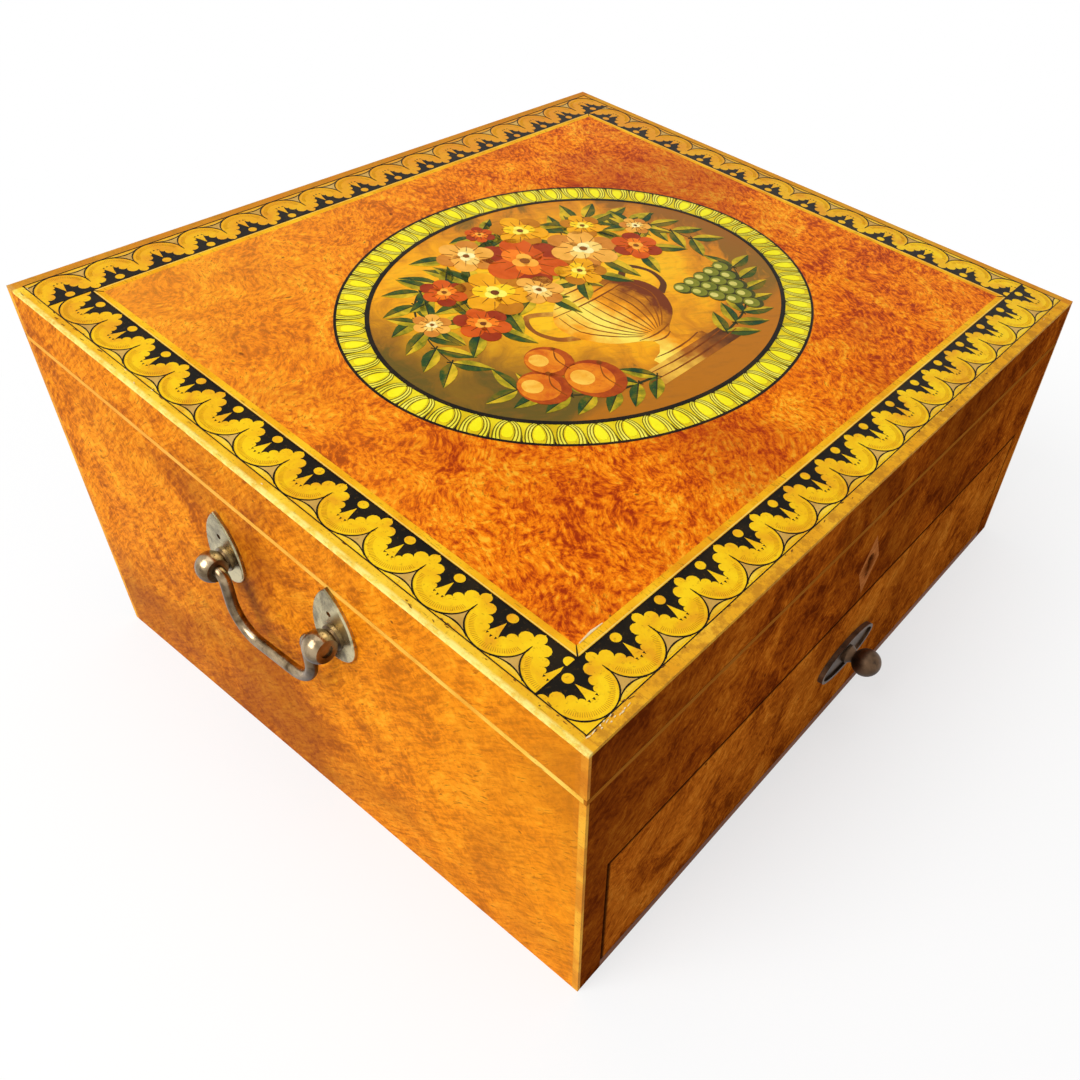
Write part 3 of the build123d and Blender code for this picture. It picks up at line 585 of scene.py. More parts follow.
handle_brass = old_metal("handle brass", (176, 154, 122), (92, 74, 52), (30, 18, 10), 0.16, 0.95)
plate_brass = old_metal("plate brass", (206, 194, 152), (116, 104, 76), (52, 42, 28), 0.2)
pull_brass = old_metal("pull brass", (104, 80, 60), (66, 52, 40), (36, 28, 20), 0.36, 0.5)
hinge_brass = old_metal("hinge brass", (206, 172, 100), (162, 124, 62), (104, 74, 34), 0.22)
steel = old_metal("lock steel", (168, 164, 156), (120, 114, 104), (88, 70, 50), 0.28)
hidden_parts = ["hinge_pins", "base_screws", "lid_screws", "lock_case", "lock_striker"]
for side in ("left", "right"):
    hidden_parts += [side + "_hinge_base_leaf", side + "_hinge_lid_leaf"]
fittings = [
    (handle_brass, ["handle_posts", "left_bail", "right_bail", "handle_nuts"]),
    (plate_brass, ["handle_plates"]),
    (pull_brass, ["pull_plate", "pull_knob", "pull_nut"]),
    (hinge_brass, hidden_parts),
    (steel, ["lock_bolt"]),
]
for metal, names in fittings:
    dress(metal, *names)
    print(metal.name, "on", len(names), "nodes")

# %% [markdown]
# ## The escutcheon
# The lozenge round the keyhole has gone nearly as brown as the front. Only its rim is
# paler, so its colour follows the distance from its own middle.

# %% Escutcheon
lozenge_low, lozenge_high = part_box("escutcheon")
pale_rim = (0.0035, 0.0065)
lozenge = Finish("escutcheon boxwood", roughness=0.5, shine=0)
distance = lozenge.length(lozenge.place(shift=-(lozenge_low + lozenge_high) / 2))
fibre = lozenge.noise(lozenge.place(scale=(1, 1, 4)), 300, 4, 0.6)
rim_brown = lozenge.ramp(fibre, [(0.35, (176, 98, 44)), (0.65, (208, 128, 66))])
paler = lozenge.mask(distance + fibre * 0.002, *pale_rim)
lozenge.set("Base Color", lozenge.blend(paler, colour(132, 66, 24), rim_brown))
dress(lozenge.material, "escutcheon")
print("escutcheon", [round(v * 1000, 1) for v in lozenge_high - lozenge_low], "mm")

# %% [markdown]
# ## Penwork on the lid
# The border was drawn in ink on pale wood and varnished: black grounds between yellow
# scallops, each with a dot over a small stem. Every shape is an outline in millimetres,
# with x along the edge of the lid and y inwards from the border's outer line. The lines
# that it has to meet are read from the model.

# %% The lid's plane and the border's lines
mm = 0.001
edge_low, edge_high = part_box("lid_edging")
border_low, border_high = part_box("lid_border")
string_low, string_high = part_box("lid_stringing")
panel_low, panel_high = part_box("medallion_panel")
ring_low, ring_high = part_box("medallion_ring")
edging = nodes["lid_edging"].data.vertices
front_top = max(v.co.z for v in edging if v.co.y < edge_low.y + 0.1 * mm)
lid_slope = (edge_high.z - front_top) / (edge_high.y - edge_low.y)
band = (border_high.x - string_high.x) / mm


def lid_top(y):
    return front_top + (y - edge_low.y) * lid_slope


slope_angle = math.degrees(math.atan(lid_slope))
print("slope", round(slope_angle, 2), "degrees, band", round(band, 2), "mm")

# %% [markdown]
# Each outline becomes a closed film, from a few hundredths to three tenths of a
# millimetre thick. Ink that lies on other ink gets a thicker film, so that no two surfaces
# share a place. A film is made flat and then lifted on to the sloping lid, which carries
# it when it opens. A painted image over the lid would be less work, but films keep their
# sharp edges however near the eye comes, and the lid's own wood shows between them.


# %% Outlines become films on the lid
def add_film(bm, outline, thickness):
    """A closed plate standing on z = 0. The outline is in millimetres, either way round."""
    area = sum(a[0] * b[1] - b[0] * a[1] for a, b in zip(outline, outline[1:] + outline[:1]))
    if area < 0:
        outline = outline[::-1]
    low = [bm.verts.new((x * mm, y * mm, 0)) for x, y in outline]
    high = [bm.verts.new((x * mm, y * mm, thickness * mm)) for x, y in outline]
    bm.faces.new(high)
    bm.faces.new(low[::-1])
    for n in range(len(low)):
        after = (n + 1) % len(low)
        bm.faces.new((low[n], low[after], high[after], high[n]))


def film_mesh(name, outlines, thickness):
    bm = bmesh.new()
    for outline in outlines:
        add_film(bm, outline, thickness)
    mesh = bpy.data.meshes.new(name)
    bm.to_mesh(mesh)
    bm.free()
    return mesh


def lay_on_lid(name, mesh, paint):
    for vertex in mesh.vertices:
        vertex.co.z += lid_top(vertex.co.y)
    if not mesh.materials:
        mesh.materials.append(paint)
    piece = bpy.data.objects.new(name, mesh)
    bpy.context.scene.collection.objects.link(piece)
    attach(piece, "lid")
    return piece


def film(name, outlines, thickness, paint):
    lay_on_lid(name, film_mesh(name, outlines, thickness), paint)
    print(name, len(outlines), "outlines")


# %% [markdown]
# Outlines are lists of points, and a few helpers draw them: `arc` is part of an ellipse,
# `smooth` lays a soft curve through a few points, and `mirrored` gives the other half.


# %% Curves
def arc(centre, radii, start, end, steps):
    """Part of an ellipse, from one angle to another in degrees."""
    (x, y), (wide, high) = centre, radii
    angles = [math.radians(start + (end - start) * n / steps) for n in range(steps + 1)]
    return [(x + wide * math.cos(a), y + high * math.sin(a)) for a in angles]


def smooth(points, steps=5):
    """A Catmull-Rom curve: it passes through every point without a corner."""
    padded = [points[0], *points, points[-1]]
    line = []
    for four in zip(padded, padded[1:], padded[2:], padded[3:]):
        for n in range(steps):
            t = n / steps
            weights = (2 * t * t - t - t**3, 2 - 5 * t * t + 3 * t**3)
            weights += (t + 4 * t * t - 3 * t**3, t**3 - t * t)
            x, y = (sum(w * p[k] for w, p in zip(weights, four)) / 2 for k in (0, 1))
            line.append((x, y))
    return line + [points[-1]]


def mirrored(points):
    return [(-x, y) for x, y in points]


print("a quarter arc:", [round(x, 2) for x, _ in arc((0, 0), (1, 1), 0, 90, 3)])

# %% [markdown]
# A pen line swells and thins, so `stroke` takes the widths that it goes through. `lobe` is
# the round swelling between two notches of a leafy edge.


# %% Pen lines and lobes
def stroke(points, widths):
    """The outline of a pen line: its width goes evenly from each value to the next."""
    left_side, right_side = [], []
    for n, (x, y) in enumerate(points):
        before = points[max(n - 1, 0)]
        after = points[min(n + 1, len(points) - 1)]
        run = math.hypot(after[0] - before[0], after[1] - before[1])
        across = ((before[1] - after[1]) / run, (after[0] - before[0]) / run)
        t = n / (len(points) - 1) * (len(widths) - 1)
        k = min(int(t), len(widths) - 2)
        half = (widths[k] + (widths[k + 1] - widths[k]) * (t - k)) / 2
        left_side.append((x + across[0] * half, y + across[1] * half))
        right_side.append((x - across[0] * half, y - across[1] * half))
    return left_side + right_side[::-1]


def lobe(start, end, bulge, steps=6):
    """Half an ellipse from start to just before end, swelling to the right of the run."""
    (x, y), run = start, (end[0] - start[0], end[1] - start[1])
    points = []
    for n in range(steps):
        a = math.pi * n / steps
        along, out = (1 - math.cos(a)) / 2, bulge * math.sin(a)
        points.append((x + run[0] * along + run[1] * out, y + run[1] * along - run[0] * out))
    return points


print("a stroke of two points has", len(stroke([(0, 0), (1, 0)], [1, 1])), "corners")

# %% [markdown]
# ## One scallop
# The photograph's near corner shows the pattern best. Black fills the space between two
# yellow arms with leafy inner edges. A round bud stands between two neighbours and nearly
# touches the upper line, and below it come a large lobe, a middling one and a small one,
# with sharp black spikes between them. The other half is the mirror image.

# %% The outlines of one scallop
scallops_long = 16
pitch = (border_high.x - border_low.x) / mm / scallops_long
half_pitch = pitch / 2

bud = arc((half_pitch, band - 2.25), (1.75, 1.75), 97, 197, 8)
notches = [(8.0, band - 2.9), (5.3, band - 6.1), (3.3, band - 8.5), (2.1, band - 10.1)]
arm = [(half_pitch - 0.03, band), *bud]
for start, end, bulge in zip(notches, notches[1:], (0.5, 0.46, 0.36)):
    arm += lobe(start, end, bulge)
arm += [notches[-1], (1.5, band - 9.5)]
ground = arm + mirrored(reversed(arm))

dot = arc((0, band - 2.4), (1.7, 1.6), 0, 337.5, 15)
half_stem = [(0.5, band - 6.4), (1.05, band - 8.2), (1.7, band - 9.9), (2.8, band - 11.0)]
stem = [(0, band - 4.7), *half_stem, *mirrored(reversed(half_stem))]
teeth = []
for x, drop in ((-1.5, 10.3), (0, 10.6), (1.5, 10.3)):
    teeth.append([(x - 0.4, band - drop), (x + 0.4, band - drop), (x, band - drop - 0.8)])
print("scallop pitch", round(pitch, 2), "mm; ground outline of", len(ground), "points")

# %% [markdown]
# Outside the arms a dark line follows the scallop's rim, and two rims meet in a cusp. A
# low second scallop fills the foot of the gap between them, and a tan spandrel the rest.
# Faint short ticks were drawn inside the rim, pointing to its middle.

# %% The rim, the spandrel and the ticks
cusp = 9.0
rim = arc((0, cusp), (half_pitch, 8.8), 180, 360, 24)
rim_line = stroke(rim, [0.3, 0.5, 0.3, 0.5, 0.3])
cusp_line = stroke([(half_pitch, cusp - 0.3), (half_pitch, cusp + 1.9)], [0.55, 0.1])

small_arc = arc((half_pitch, -8.4), (10.7, 10.7), 127, 53, 14)
small_scallop = [(x, y) for x, y in small_arc if y > 0.15]
small_line = stroke(small_scallop, [0.2, 0.55, 0.2])
right_of_rim = [p for p in rim if p[0] > 4.5]
spandrel = right_of_rim + [(pitch - x, y) for x, y in reversed(right_of_rim)]

outer_ends = arc((0, cusp), (half_pitch - 1.2, 7.6), 190, 350, 36)
inner_ends = arc((0, cusp), (half_pitch - 2.7, 6.1), 190, 350, 36)
ticks = [stroke(ends, [0.24, 0.1]) for ends in zip(outer_ends, inner_ends)]
print(len(ticks), "ticks in each scallop")

# %% [markdown]
# ## Rows of motifs
# Geometry Nodes repeat the motifs. `new_tree` starts a tree with named inputs and `add`
# sets one node in it. All the trees end alike, in `finish_tree`: a motif on each point,
# turned, made real and painted.


# %% Helpers for trees
def new_tree(name, inputs):
    tree = bpy.data.node_groups.new(name, "GeometryNodeTree")
    for label, kind in inputs.items():
        tree.interface.new_socket(label, in_out="INPUT", socket_type=kind)
    tree.interface.new_socket("Geometry", in_out="OUTPUT", socket_type="NodeSocketGeometry")
    return tree, tree.nodes.new("NodeGroupInput"), tree.nodes.new("NodeGroupOutput")


def add(tree, kind, settings=None, links=None):
    node = tree.nodes.new(kind)
    for name, value in (settings or {}).items():
        setattr(node, name, value)
    for name, source in (links or {}).items():
        tree.links.new(source, node.inputs[name])
    return node


def finish_tree(tree, out, points, turn, start):
    """The end that all trees share: motifs on points, made real and painted."""
    shape = add(tree, "GeometryNodeObjectInfo", {}, {"Object": start.outputs["Motif"]})
    links = {"Points": points, "Instance": shape.outputs["Geometry"], "Rotation": turn}
    placed = add(tree, "GeometryNodeInstanceOnPoints", {}, links)
    real = add(tree, "GeometryNodeRealizeInstances", {}, {"Geometry": placed.outputs[0]})
    links = {"Geometry": real.outputs[0], "Material": start.outputs["Paint"]}
    painted = add(tree, "GeometryNodeSetMaterial", {}, links)
    tree.links.new(painted.outputs[0], out.inputs[0])
    return tree


print("helpers for trees")

# %% [markdown]
# `grow` runs a tree on an empty mesh: it sets the inputs before anything is worked out,
# and hands back the plain mesh that the tree makes. A `motif` is what a tree repeats.


# %% Growing a tree
def grow(tree, **values):
    carrier = bpy.data.objects.new("carrier", bpy.data.meshes.new("carrier"))
    bpy.context.scene.collection.objects.link(carrier)
    modifier = carrier.modifiers.new("tree", "NODES")
    modifier.node_group = tree
    for item in tree.interface.items_tree:
        if item.in_out == "INPUT" and item.name in values:
            modifier[item.identifier] = values[item.name]
    evaluated = carrier.evaluated_get(bpy.context.evaluated_depsgraph_get())
    mesh = bpy.data.meshes.new_from_object(evaluated)
    bpy.data.objects.remove(carrier)
    return mesh


def motif(name, outlines, thickness):
    """An object for a tree to copy. It isn't linked to the scene, so it never shows."""
    return bpy.data.objects.new(name, film_mesh(name, outlines, thickness))


print("trees can grow")

# %% [markdown]
# The first tree makes a row. It divides a straight line into equal steps and turns all
# its motifs by the same angle. Its line, count and angle are inputs, so one tree makes
# the rows at the front, the back and both sides.


# %% The tree for a row
def row_tree():
    kinds = {
        "Motif": "NodeSocketObject",
        "Paint": "NodeSocketMaterial",
        "Start": "NodeSocketVector",
        "End": "NodeSocketVector",
        "Count": "NodeSocketInt",
        "Turn": "NodeSocketFloat",
    }
    tree, start, out = new_tree("row of motifs", kinds)
    links = {"Start Location": start.outputs["Start"], "Offset": start.outputs["End"]}
    links["Count"] = start.outputs["Count"]
    line = add(tree, "GeometryNodeMeshLine", {"mode": "END_POINTS"}, links)
    turn = add(tree, "ShaderNodeCombineXYZ", {}, {"Z": start.outputs["Turn"]})
    return finish_tree(tree, out, line.outputs[0], turn.outputs[0], start)


rows = row_tree()
print("row tree of", len(rows.nodes), "nodes")

# %% [markdown]
# ## Inks and varnish
# The yellow of the scallops is varnished wood, warmer in patches and speckled where the
# varnish has pitted. The black is thin ink that has gone brown in places. One function
# makes every ink from two or three shades and a speck. Towards the back and the right the
# varnish has gone orange, which an aged shade adds.


# %% Inks
def ink(name, shades, speck, speck_amount=0.5, patches=70, aged=None):
    finish = Finish(name, roughness=0.42, coat=0.02, coat_roughness=0.14, shine=0.05)
    point = finish.place()
    slow = finish.noise(point, patches, 5, 0.6, 0.5)
    stops = [(0.36 + 0.26 * n / (len(shades) - 1), shade) for n, shade in enumerate(shades)]
    paint = finish.ramp(slow, stops)
    if aged:
        to_the_back = finish.axis(point, "Y") * 0.7 + finish.axis(point, "X") * 0.35
        paint = finish.blend(finish.mask(to_the_back, 0.0, 0.11) * 0.8, paint, colour(*aged))
    specks = finish.mask(finish.noise(point, 850, 3, 0.6), 0.6, 0.7)
    finish.set("Base Color", finish.blend(specks * speck_amount, paint, colour(*speck)))
    finish.bump(finish.noise(point, 1100, 2), 0.12, 0.0002)
    return finish.material


print("an ink is a ramp of shades under specks")

# %% [markdown]
# The border has five inks. The border strips of the model are its yellow ground, and the
# other colours lie on them in layers. A layer is a name, the outlines of one scallop, the
# thickness of the film in millimetres and its ink.

# %% The layers of one scallop
scallop_shades = [(232, 162, 26), (243, 188, 20), (250, 206, 24)]
small_shades = [(226, 172, 40), (238, 192, 48), (246, 208, 66)]
yellow_ink = ink("scallop yellow", scallop_shades, (180, 112, 16), aged=(222, 138, 24))
black_ink = ink("ground black", [(12, 8, 2), (18, 12, 4), (34, 24, 8)], (110, 78, 20), 0.25)
tan_ink = ink("spandrel tan", [(190, 144, 64), (204, 160, 78), (214, 174, 92)], (130, 90, 36))
pale_ink = ink("small scallop yellow", small_shades, (180, 120, 30), aged=(214, 136, 30))
brown_ink = ink("tick brown", [(196, 136, 14), (210, 152, 20)], (150, 98, 14))
dress(yellow_ink, "lid_border")
layers = [
    ("penwork_grounds", [ground], 0.04, black_ink),
    ("penwork_dots", [dot, stem], 0.08, yellow_ink),
    ("penwork_spandrels", [spandrel], 0.04, tan_ink),
    ("penwork_small_scallops", [small_scallop], 0.08, pale_ink),
    ("penwork_lines", [rim_line, cusp_line, small_line, *teeth], 0.12, black_ink),
    ("penwork_ticks", ticks, 0.05, brown_ink),
]
print(len(layers), "layers of ink")

# %% [markdown]
# ## The border
# The rows at the front and the back run the whole width of the lid, and those at the
# sides are cut off where they meet them, through the middle of a motif if need be, as on
# the real lid. A cut film is closed again.


# %% Cutting and joining films
def cut_off(mesh, point, normal):
    """Removes what lies beyond a plane, and closes the cut."""
    bm = bmesh.new()
    bm.from_mesh(mesh)
    everything = bm.verts[:] + bm.edges[:] + bm.faces[:]
    bmesh.ops.bisect_plane(bm, geom=everything, plane_co=point, plane_no=normal, clear_outer=True)
    bmesh.ops.holes_fill(bm, edges=[edge for edge in bm.edges if edge.is_boundary])
    bm.to_mesh(mesh)
    bm.free()


def joined(meshes, name):
    bm = bmesh.new()
    for mesh in meshes:
        bm.from_mesh(mesh)
    mesh = bpy.data.meshes.new(name)
    bm.to_mesh(mesh)
    bm.free()
    return mesh


print("cutting and joining")

# %% [markdown]
# Each layer is grown four times, once for each edge of the lid, cut and joined to one
# piece. A run is its start, its end, the number of its motifs, their turn and the planes
# that cut it. The front and back rows begin half a scallop in from the corner, and the
# side rows half a scallop in from the stringing's back line.

# %% Rows round the lid
side_start = string_high.y - half_pitch * mm
side_count = int((string_high.y - string_low.y) / mm / pitch) + 1
side_end = side_start - (side_count - 1) * pitch * mm
long_reach = border_high.x - half_pitch * mm
long_cuts = [((border_low.x, 0, 0), (-1, 0, 0)), ((border_high.x, 0, 0), (1, 0, 0))]
side_cuts = [((0, string_low.y, 0), (0, -1, 0)), ((0, string_high.y, 0), (0, 1, 0))]
quarter = math.pi / 2
runs = []
for y, turn in ((border_low.y, 0), (border_high.y, math.pi)):
    runs.append(((-long_reach, y, 0), (long_reach, y, 0), scallops_long, turn, long_cuts))
for x, turn in ((border_low.x, -quarter), (border_high.x, quarter)):
    runs.append(((x, side_start, 0), (x, side_end, 0), side_count, turn, side_cuts))
for name, outlines, thickness, paint in layers:
    shape = motif(name, outlines, thickness)
    parts = []
    for start, end, count, turn, cuts in runs:
        row = grow(rows, Motif=shape, Paint=paint, Start=start, End=end, Count=count, Turn=turn)
        for point, normal in cuts:
            cut_off(row, point, normal)
        parts.append(row)
    mesh = joined(parts, name)
    lay_on_lid(name, mesh, paint)
    print(name, len(mesh.polygons), "faces")

# %% [markdown]
# ## Ruled lines
# Fine lines were ruled where the border meets the edging and the stringing. The line at
# the top of the front and the back rows runs on to the sides of the lid, and the mitres
# of the stringing have opened into dark joints.


# %% Ruled lines
def ruled_frame(half_x, half_y, width):
    """Four strips round a rectangle, centred on its sides."""
    outer_x, outer_y = half_x + width / 2, half_y + width / 2
    inner_x, inner_y = half_x - width / 2, half_y - width / 2
    long_strip = [(-outer_x, outer_y), (outer_x, outer_y), (inner_x, inner_y), (-inner_x, inner_y)]
    short_strip = [(outer_x, outer_y), (outer_x, -outer_y), (inner_x, -inner_y), (inner_x, inner_y)]
    opposite = [[(-x, -y) for x, y in strip] for strip in (long_strip, short_strip)]
    return [long_strip, short_strip, *opposite]


border_x, border_y = border_high.x / mm, border_high.y / mm
string_x, string_y = string_high.x / mm, string_high.y / mm
string_width = string_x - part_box("lid_burr_panel")[1].x / mm
dark_lines = ruled_frame(border_x, border_y, 0.3) + ruled_frame(string_x, string_y, 0.35)
for side_y in (-1, 1):
    for side_x in (-1, 1):
        outer_end = (side_x * border_x, side_y * string_y)
        corner = (side_x * string_x, side_y * string_y)
        inner_corner = (side_x * (string_x - string_width), side_y * (string_y - string_width))
        dark_lines.append(stroke([outer_end, corner], [0.4, 0.4]))
        dark_lines.append(stroke([corner, inner_corner], [0.5, 0.25]))
film("ruled_lines", dark_lines, 0.14, black_ink)
pale_lines = ruled_frame(string_x - 0.6, string_y - 0.6, 0.35)
pale_paint = ink("pale line", [(240, 196, 84), (246, 210, 104)], (206, 160, 66))
film("pale_lines", pale_lines, 0.05, pale_paint)

# %% [markdown]
# ## Chips and worn spots
# Long use has lifted small chips of ink and varnish along the edges. Each is a ragged
# little outline: a few points round an ellipse, each a little nearer or further out.


# %% A ragged outline
def turned(outline, centre, a):
    """The outline turned by the angle a and then moved to its centre."""
    cos, sin = math.cos(a), math.sin(a)
    return [(centre[0] + u * cos - v * sin, centre[1] + u * sin + v * cos) for u, v in outline]


def ragged(centre, length, width, turn, chance, sides=9):
    points = []
    for n in range(sides):
        a = 2 * math.pi * n / sides
        reach = chance.uniform(0.6, 1.1) / 2
        points.append((length * reach * math.cos(a), width * reach * math.sin(a)))
    return turned(points, centre, turn)


print("a chip has", len(ragged((0, 0), 1, 1, 0, random.Random(0))), "corners")

# %% [markdown]
# Many chips lie at the near left corner, where a sliver of the stringing has split away
# too, and the others along the left and the front edge. They show pale bare wood or dark
# dirt. A seeded draw places them, so that they fall the same way each time.

# %% Chips
chance = random.Random(21)
sliver = [(-135.4, -109.6), (-130, -109.2), (-125.5, -109.4)]
corner_x, corner_y, corner_step = -154, -129.6, 0.95
corner_chips, edge_chips = 14, 64
close_share, left_share, pale_share = 0.45, 0.62, 0.35
insets = (0.5, -0.4, 0.9, 2.4)

pale_chips, dark_chips = [stroke(sliver, [0.3, 0.7, 0.2])], []
for n in range(corner_chips):
    x = corner_x + n * corner_step + chance.uniform(-0.5, 0.5)
    y = corner_y + chance.uniform(-1.2, 0.5)
    length, width = chance.uniform(0.5, 2.2), chance.uniform(0.2, 0.45)
    pale_chips.append(ragged((x, y), length, width, 0.15, chance))
for n in range(edge_chips):
    close = chance.random() < close_share
    along = chance.random() ** 2 if close else chance.random()
    inset = chance.choice(insets) * chance.uniform(0.6, 1.2)
    if chance.random() < left_share:
        centre, turn = (-border_x - inset, -border_y + along * 2 * border_y), quarter
    else:
        centre, turn = (-border_x + along * 2 * border_x, -border_y - inset * 0.6), 0
    chips = pale_chips if chance.random() < pale_share else dark_chips
    turn += chance.uniform(-0.3, 0.3)
    length, width = chance.uniform(0.6, 2.4), chance.uniform(0.2, 0.5)
    chips.append(ragged(centre, length, width, turn, chance))
bare_wood = ink("bare wood", [(226, 190, 128), (248, 232, 186)], (190, 140, 80))
dirt_paint = ink("dirt", [(96, 58, 20), (140, 92, 34)], (70, 40, 14))
film("pale_chips", pale_chips, 0.17, bare_wood)
film("dark_chips", dark_chips, 0.15, dirt_paint)

# %% [markdown]
# ## The oval ring
# The band round the oval is egg and dart: a pointed egg under two pale arches that open
# outwards, and a black dart between two neighbours, fifty-four times. The second tree
# bends a row of motifs round an ellipse. It scales a circle, divides it into equal steps
# and turns every motif to the curve's own direction.


# %% The tree for the ring
def ring_tree():
    kinds = {
        "Motif": "NodeSocketObject",
        "Paint": "NodeSocketMaterial",
        "Radii": "NodeSocketVector",
        "Count": "NodeSocketInt",
    }
    tree, start, out = new_tree("motifs round an oval", kinds)
    circle = add(tree, "GeometryNodeCurvePrimitiveCircle")
    circle.inputs["Resolution"].default_value = 360
    circle.inputs["Radius"].default_value = 1
    links = {"Geometry": circle.outputs["Curve"], "Scale": start.outputs["Radii"]}
    oval = add(tree, "GeometryNodeTransform", {}, links)
    links = {"Curve": oval.outputs[0], "Count": start.outputs["Count"]}
    steps = add(tree, "GeometryNodeResampleCurve", {}, links)
    tangent = add(tree, "GeometryNodeInputTangent")
    along = {"Vector": tangent.outputs[0]}
    turn = add(tree, "FunctionNodeAlignRotationToVector", {"axis": "X"}, along)
    return finish_tree(tree, out, steps.outputs[0], turn.outputs[0], start)


ovals = ring_tree()
ring_x = (ring_high.x - ring_low.x) / 2 / mm
ring_y = (ring_high.y - ring_low.y) / 2 / mm
panel_x = (panel_high.x - panel_low.x) / 2 / mm
panel_y = (panel_high.y - panel_low.y) / 2 / mm
print("ring", round(ring_x, 1), "by", round(ring_y, 1), "mm, width", round(ring_x - panel_x, 2))

# %% [markdown]
# The motif stands on the ring's middle line with y pointing inwards, because the curve
# runs anticlockwise. The dark lines of the arches and the pale bands between them are
# strokes along soft curves, and the bands widen into little feet at the outer line.

# %% Eggs, arches and darts
half_egg = [(0.75, 2.9), (1.45, 1.2), (1.9, -0.8), (1.75, -2.4), (1.1, -3.4)]
egg = [(0, 4.2), *half_egg, (0, -3.7), *mirrored(reversed(half_egg))]
dark_arches = [
    ([(0.1, 4.9), (-1.4, 3.0), (-2.35, 0.2), (-2.4, -2.6), (-1.9, -4.9)], [0.2, 0.34, 0.3]),
    ([(-0.5, 5.3), (-2.4, 3.2), (-3.45, 0.0), (-3.5, -3.0), (-3.1, -5.2)], [0.2, 0.36, 0.3]),
    ([(-1.3, 5.4), (-3.4, 3.2), (-4.4, 0.0), (-4.6, -3.0), (-4.5, -5.4)], [0.25, 0.42, 0.5]),
]
pale_arches = [
    ([(-0.2, 5.0), (-1.9, 3.1), (-2.9, 0.1), (-2.95, -2.8), (-2.5, -5.2)], [0.2, 0.6, 0.6, 0.95]),
    ([(-0.9, 5.3), (-2.9, 3.2), (-3.93, 0.0), (-4.05, -3.0), (-3.8, -5.3)], [0.2, 0.55, 0.6, 0.95]),
]
arch_lines, arch_bands = [], []
for arches, outlines in ((dark_arches, arch_lines), (pale_arches, arch_bands)):
    for points, widths in arches:
        soft = smooth(points, 3)
        outlines += [stroke(soft, widths), stroke(mirrored(soft), widths)]
dart = [(4.1, -5.8), (5.8, -5.8), (5.1, -3.6), (4.95, -1.2), (4.8, -3.6)]
egg_tip = [(-1.4, 5.7), (1.4, 5.7), (0, 4.0)]

ring_yellow = ink("ring yellow", [(214, 180, 20), (230, 204, 24), (240, 220, 34)], (176, 138, 18))
egg_yellow = ink("egg yellow", [(246, 232, 20), (252, 244, 38)], (232, 204, 24), 0.3)
arch_yellow = ink("arch yellow", [(240, 224, 50), (250, 240, 96)], (220, 186, 40), 0.4)
olive_ink = ink("olive ink", [(96, 84, 10), (126, 108, 14)], (160, 132, 20), 0.3)
dress(ring_yellow, "medallion_ring")
ring_layers = [
    ("ring_arch_bands", arch_bands, 0.05, arch_yellow),
    ("ring_arch_lines", arch_lines, 0.08, olive_ink),
    ("ring_eggs", [egg], 0.10, egg_yellow),
    ("ring_darts", [dart, egg_tip], 0.06, black_ink),
]
eggs_round = 54
middle_radii = ((ring_x + panel_x) / 2 * mm, (ring_y + panel_y) / 2 * mm, 1)
for name, outlines, thickness, paint in ring_layers:
    shape = motif(name, outlines, thickness)
    mesh = grow(ovals, Motif=shape, Paint=paint, Radii=middle_radii, Count=eggs_round)
    lay_on_lid(name, mesh, paint)
    print(name, len(mesh.polygons), "faces")

# %% [markdown]
# A black line runs round each side of the ring. A line that closes on itself has no ends,
# so it is a band between two ellipses, closed on all four sides.


# %% Black lines at both edges of the ring
def oval_band(name, outer, inner, thickness, steps=180):
    bm = bmesh.new()
    loops = []
    for radii, height in ((outer, 0), (outer, thickness), (inner, thickness), (inner, 0)):
        loop = []
        for n in range(steps):
            a = 2 * math.pi * n / steps
            x, y = radii[0] * math.cos(a), radii[1] * math.sin(a)
            loop.append(bm.verts.new((x * mm, y * mm, height * mm)))
        loops.append(loop)
    for first, second in zip(loops, loops[1:] + loops[:1]):
        for n in range(steps):
            after = (n + 1) % steps
            bm.faces.new((first[n], first[after], second[after], second[n]))
    mesh = bpy.data.meshes.new(name)
    bm.to_mesh(mesh)
    bm.free()
    return mesh


ring_lines = []
for x, y, outwards, inwards in ((ring_x, ring_y, 0.1, 0.9), (panel_x, panel_y, 1.0, 0.7)):
    outer, inner = (x + outwards, y + outwards), (x - inwards, y - inwards)
    ring_lines.append(oval_band("ring line", outer, inner, 0.12))
lay_on_lid("ring_lines", joined(ring_lines, "ring_lines"), black_ink)
print(len(ring_lines), "black lines")

# %% [markdown]
# ## The oval picture
# The oval holds a varnished picture in ochre, orange and olive: an urn of flowers on a
# plinth, fruit at its foot and leafy sprays at both sides. The ground is a warm light that
# darkens to olive on the left and to red brown on the right, over an ochre floor, and
# brush strokes and old varnish break it up. Its shades are blended one over the other, as
# a painter lays them.

# %% The picture's ground
picture = Finish("picture ground", roughness=0.36, coat=0.03, coat_roughness=0.1, shine=0.05)
spot = picture.place()
oval_scale = (1 / panel_x / mm, 1 / panel_y / mm, 0)
from_light = picture.length(picture.place(shift=(0.08, -0.16, 0), scale=oval_scale))
brush = picture.stretched(picture.bent(spot, 34, 0.03), (0, 0, 0.7), (1, 0.3, 1))
cloudy = picture.noise(brush, 40, 6, 0.64, 0.8)
glow = [(0.3, (255, 196, 28)), (0.62, (248, 168, 18)), (0.88, (212, 130, 22)), (1, (138, 98, 28))]
shade = picture.ramp(from_light + (cloudy - 0.5) * 1.5, glow)

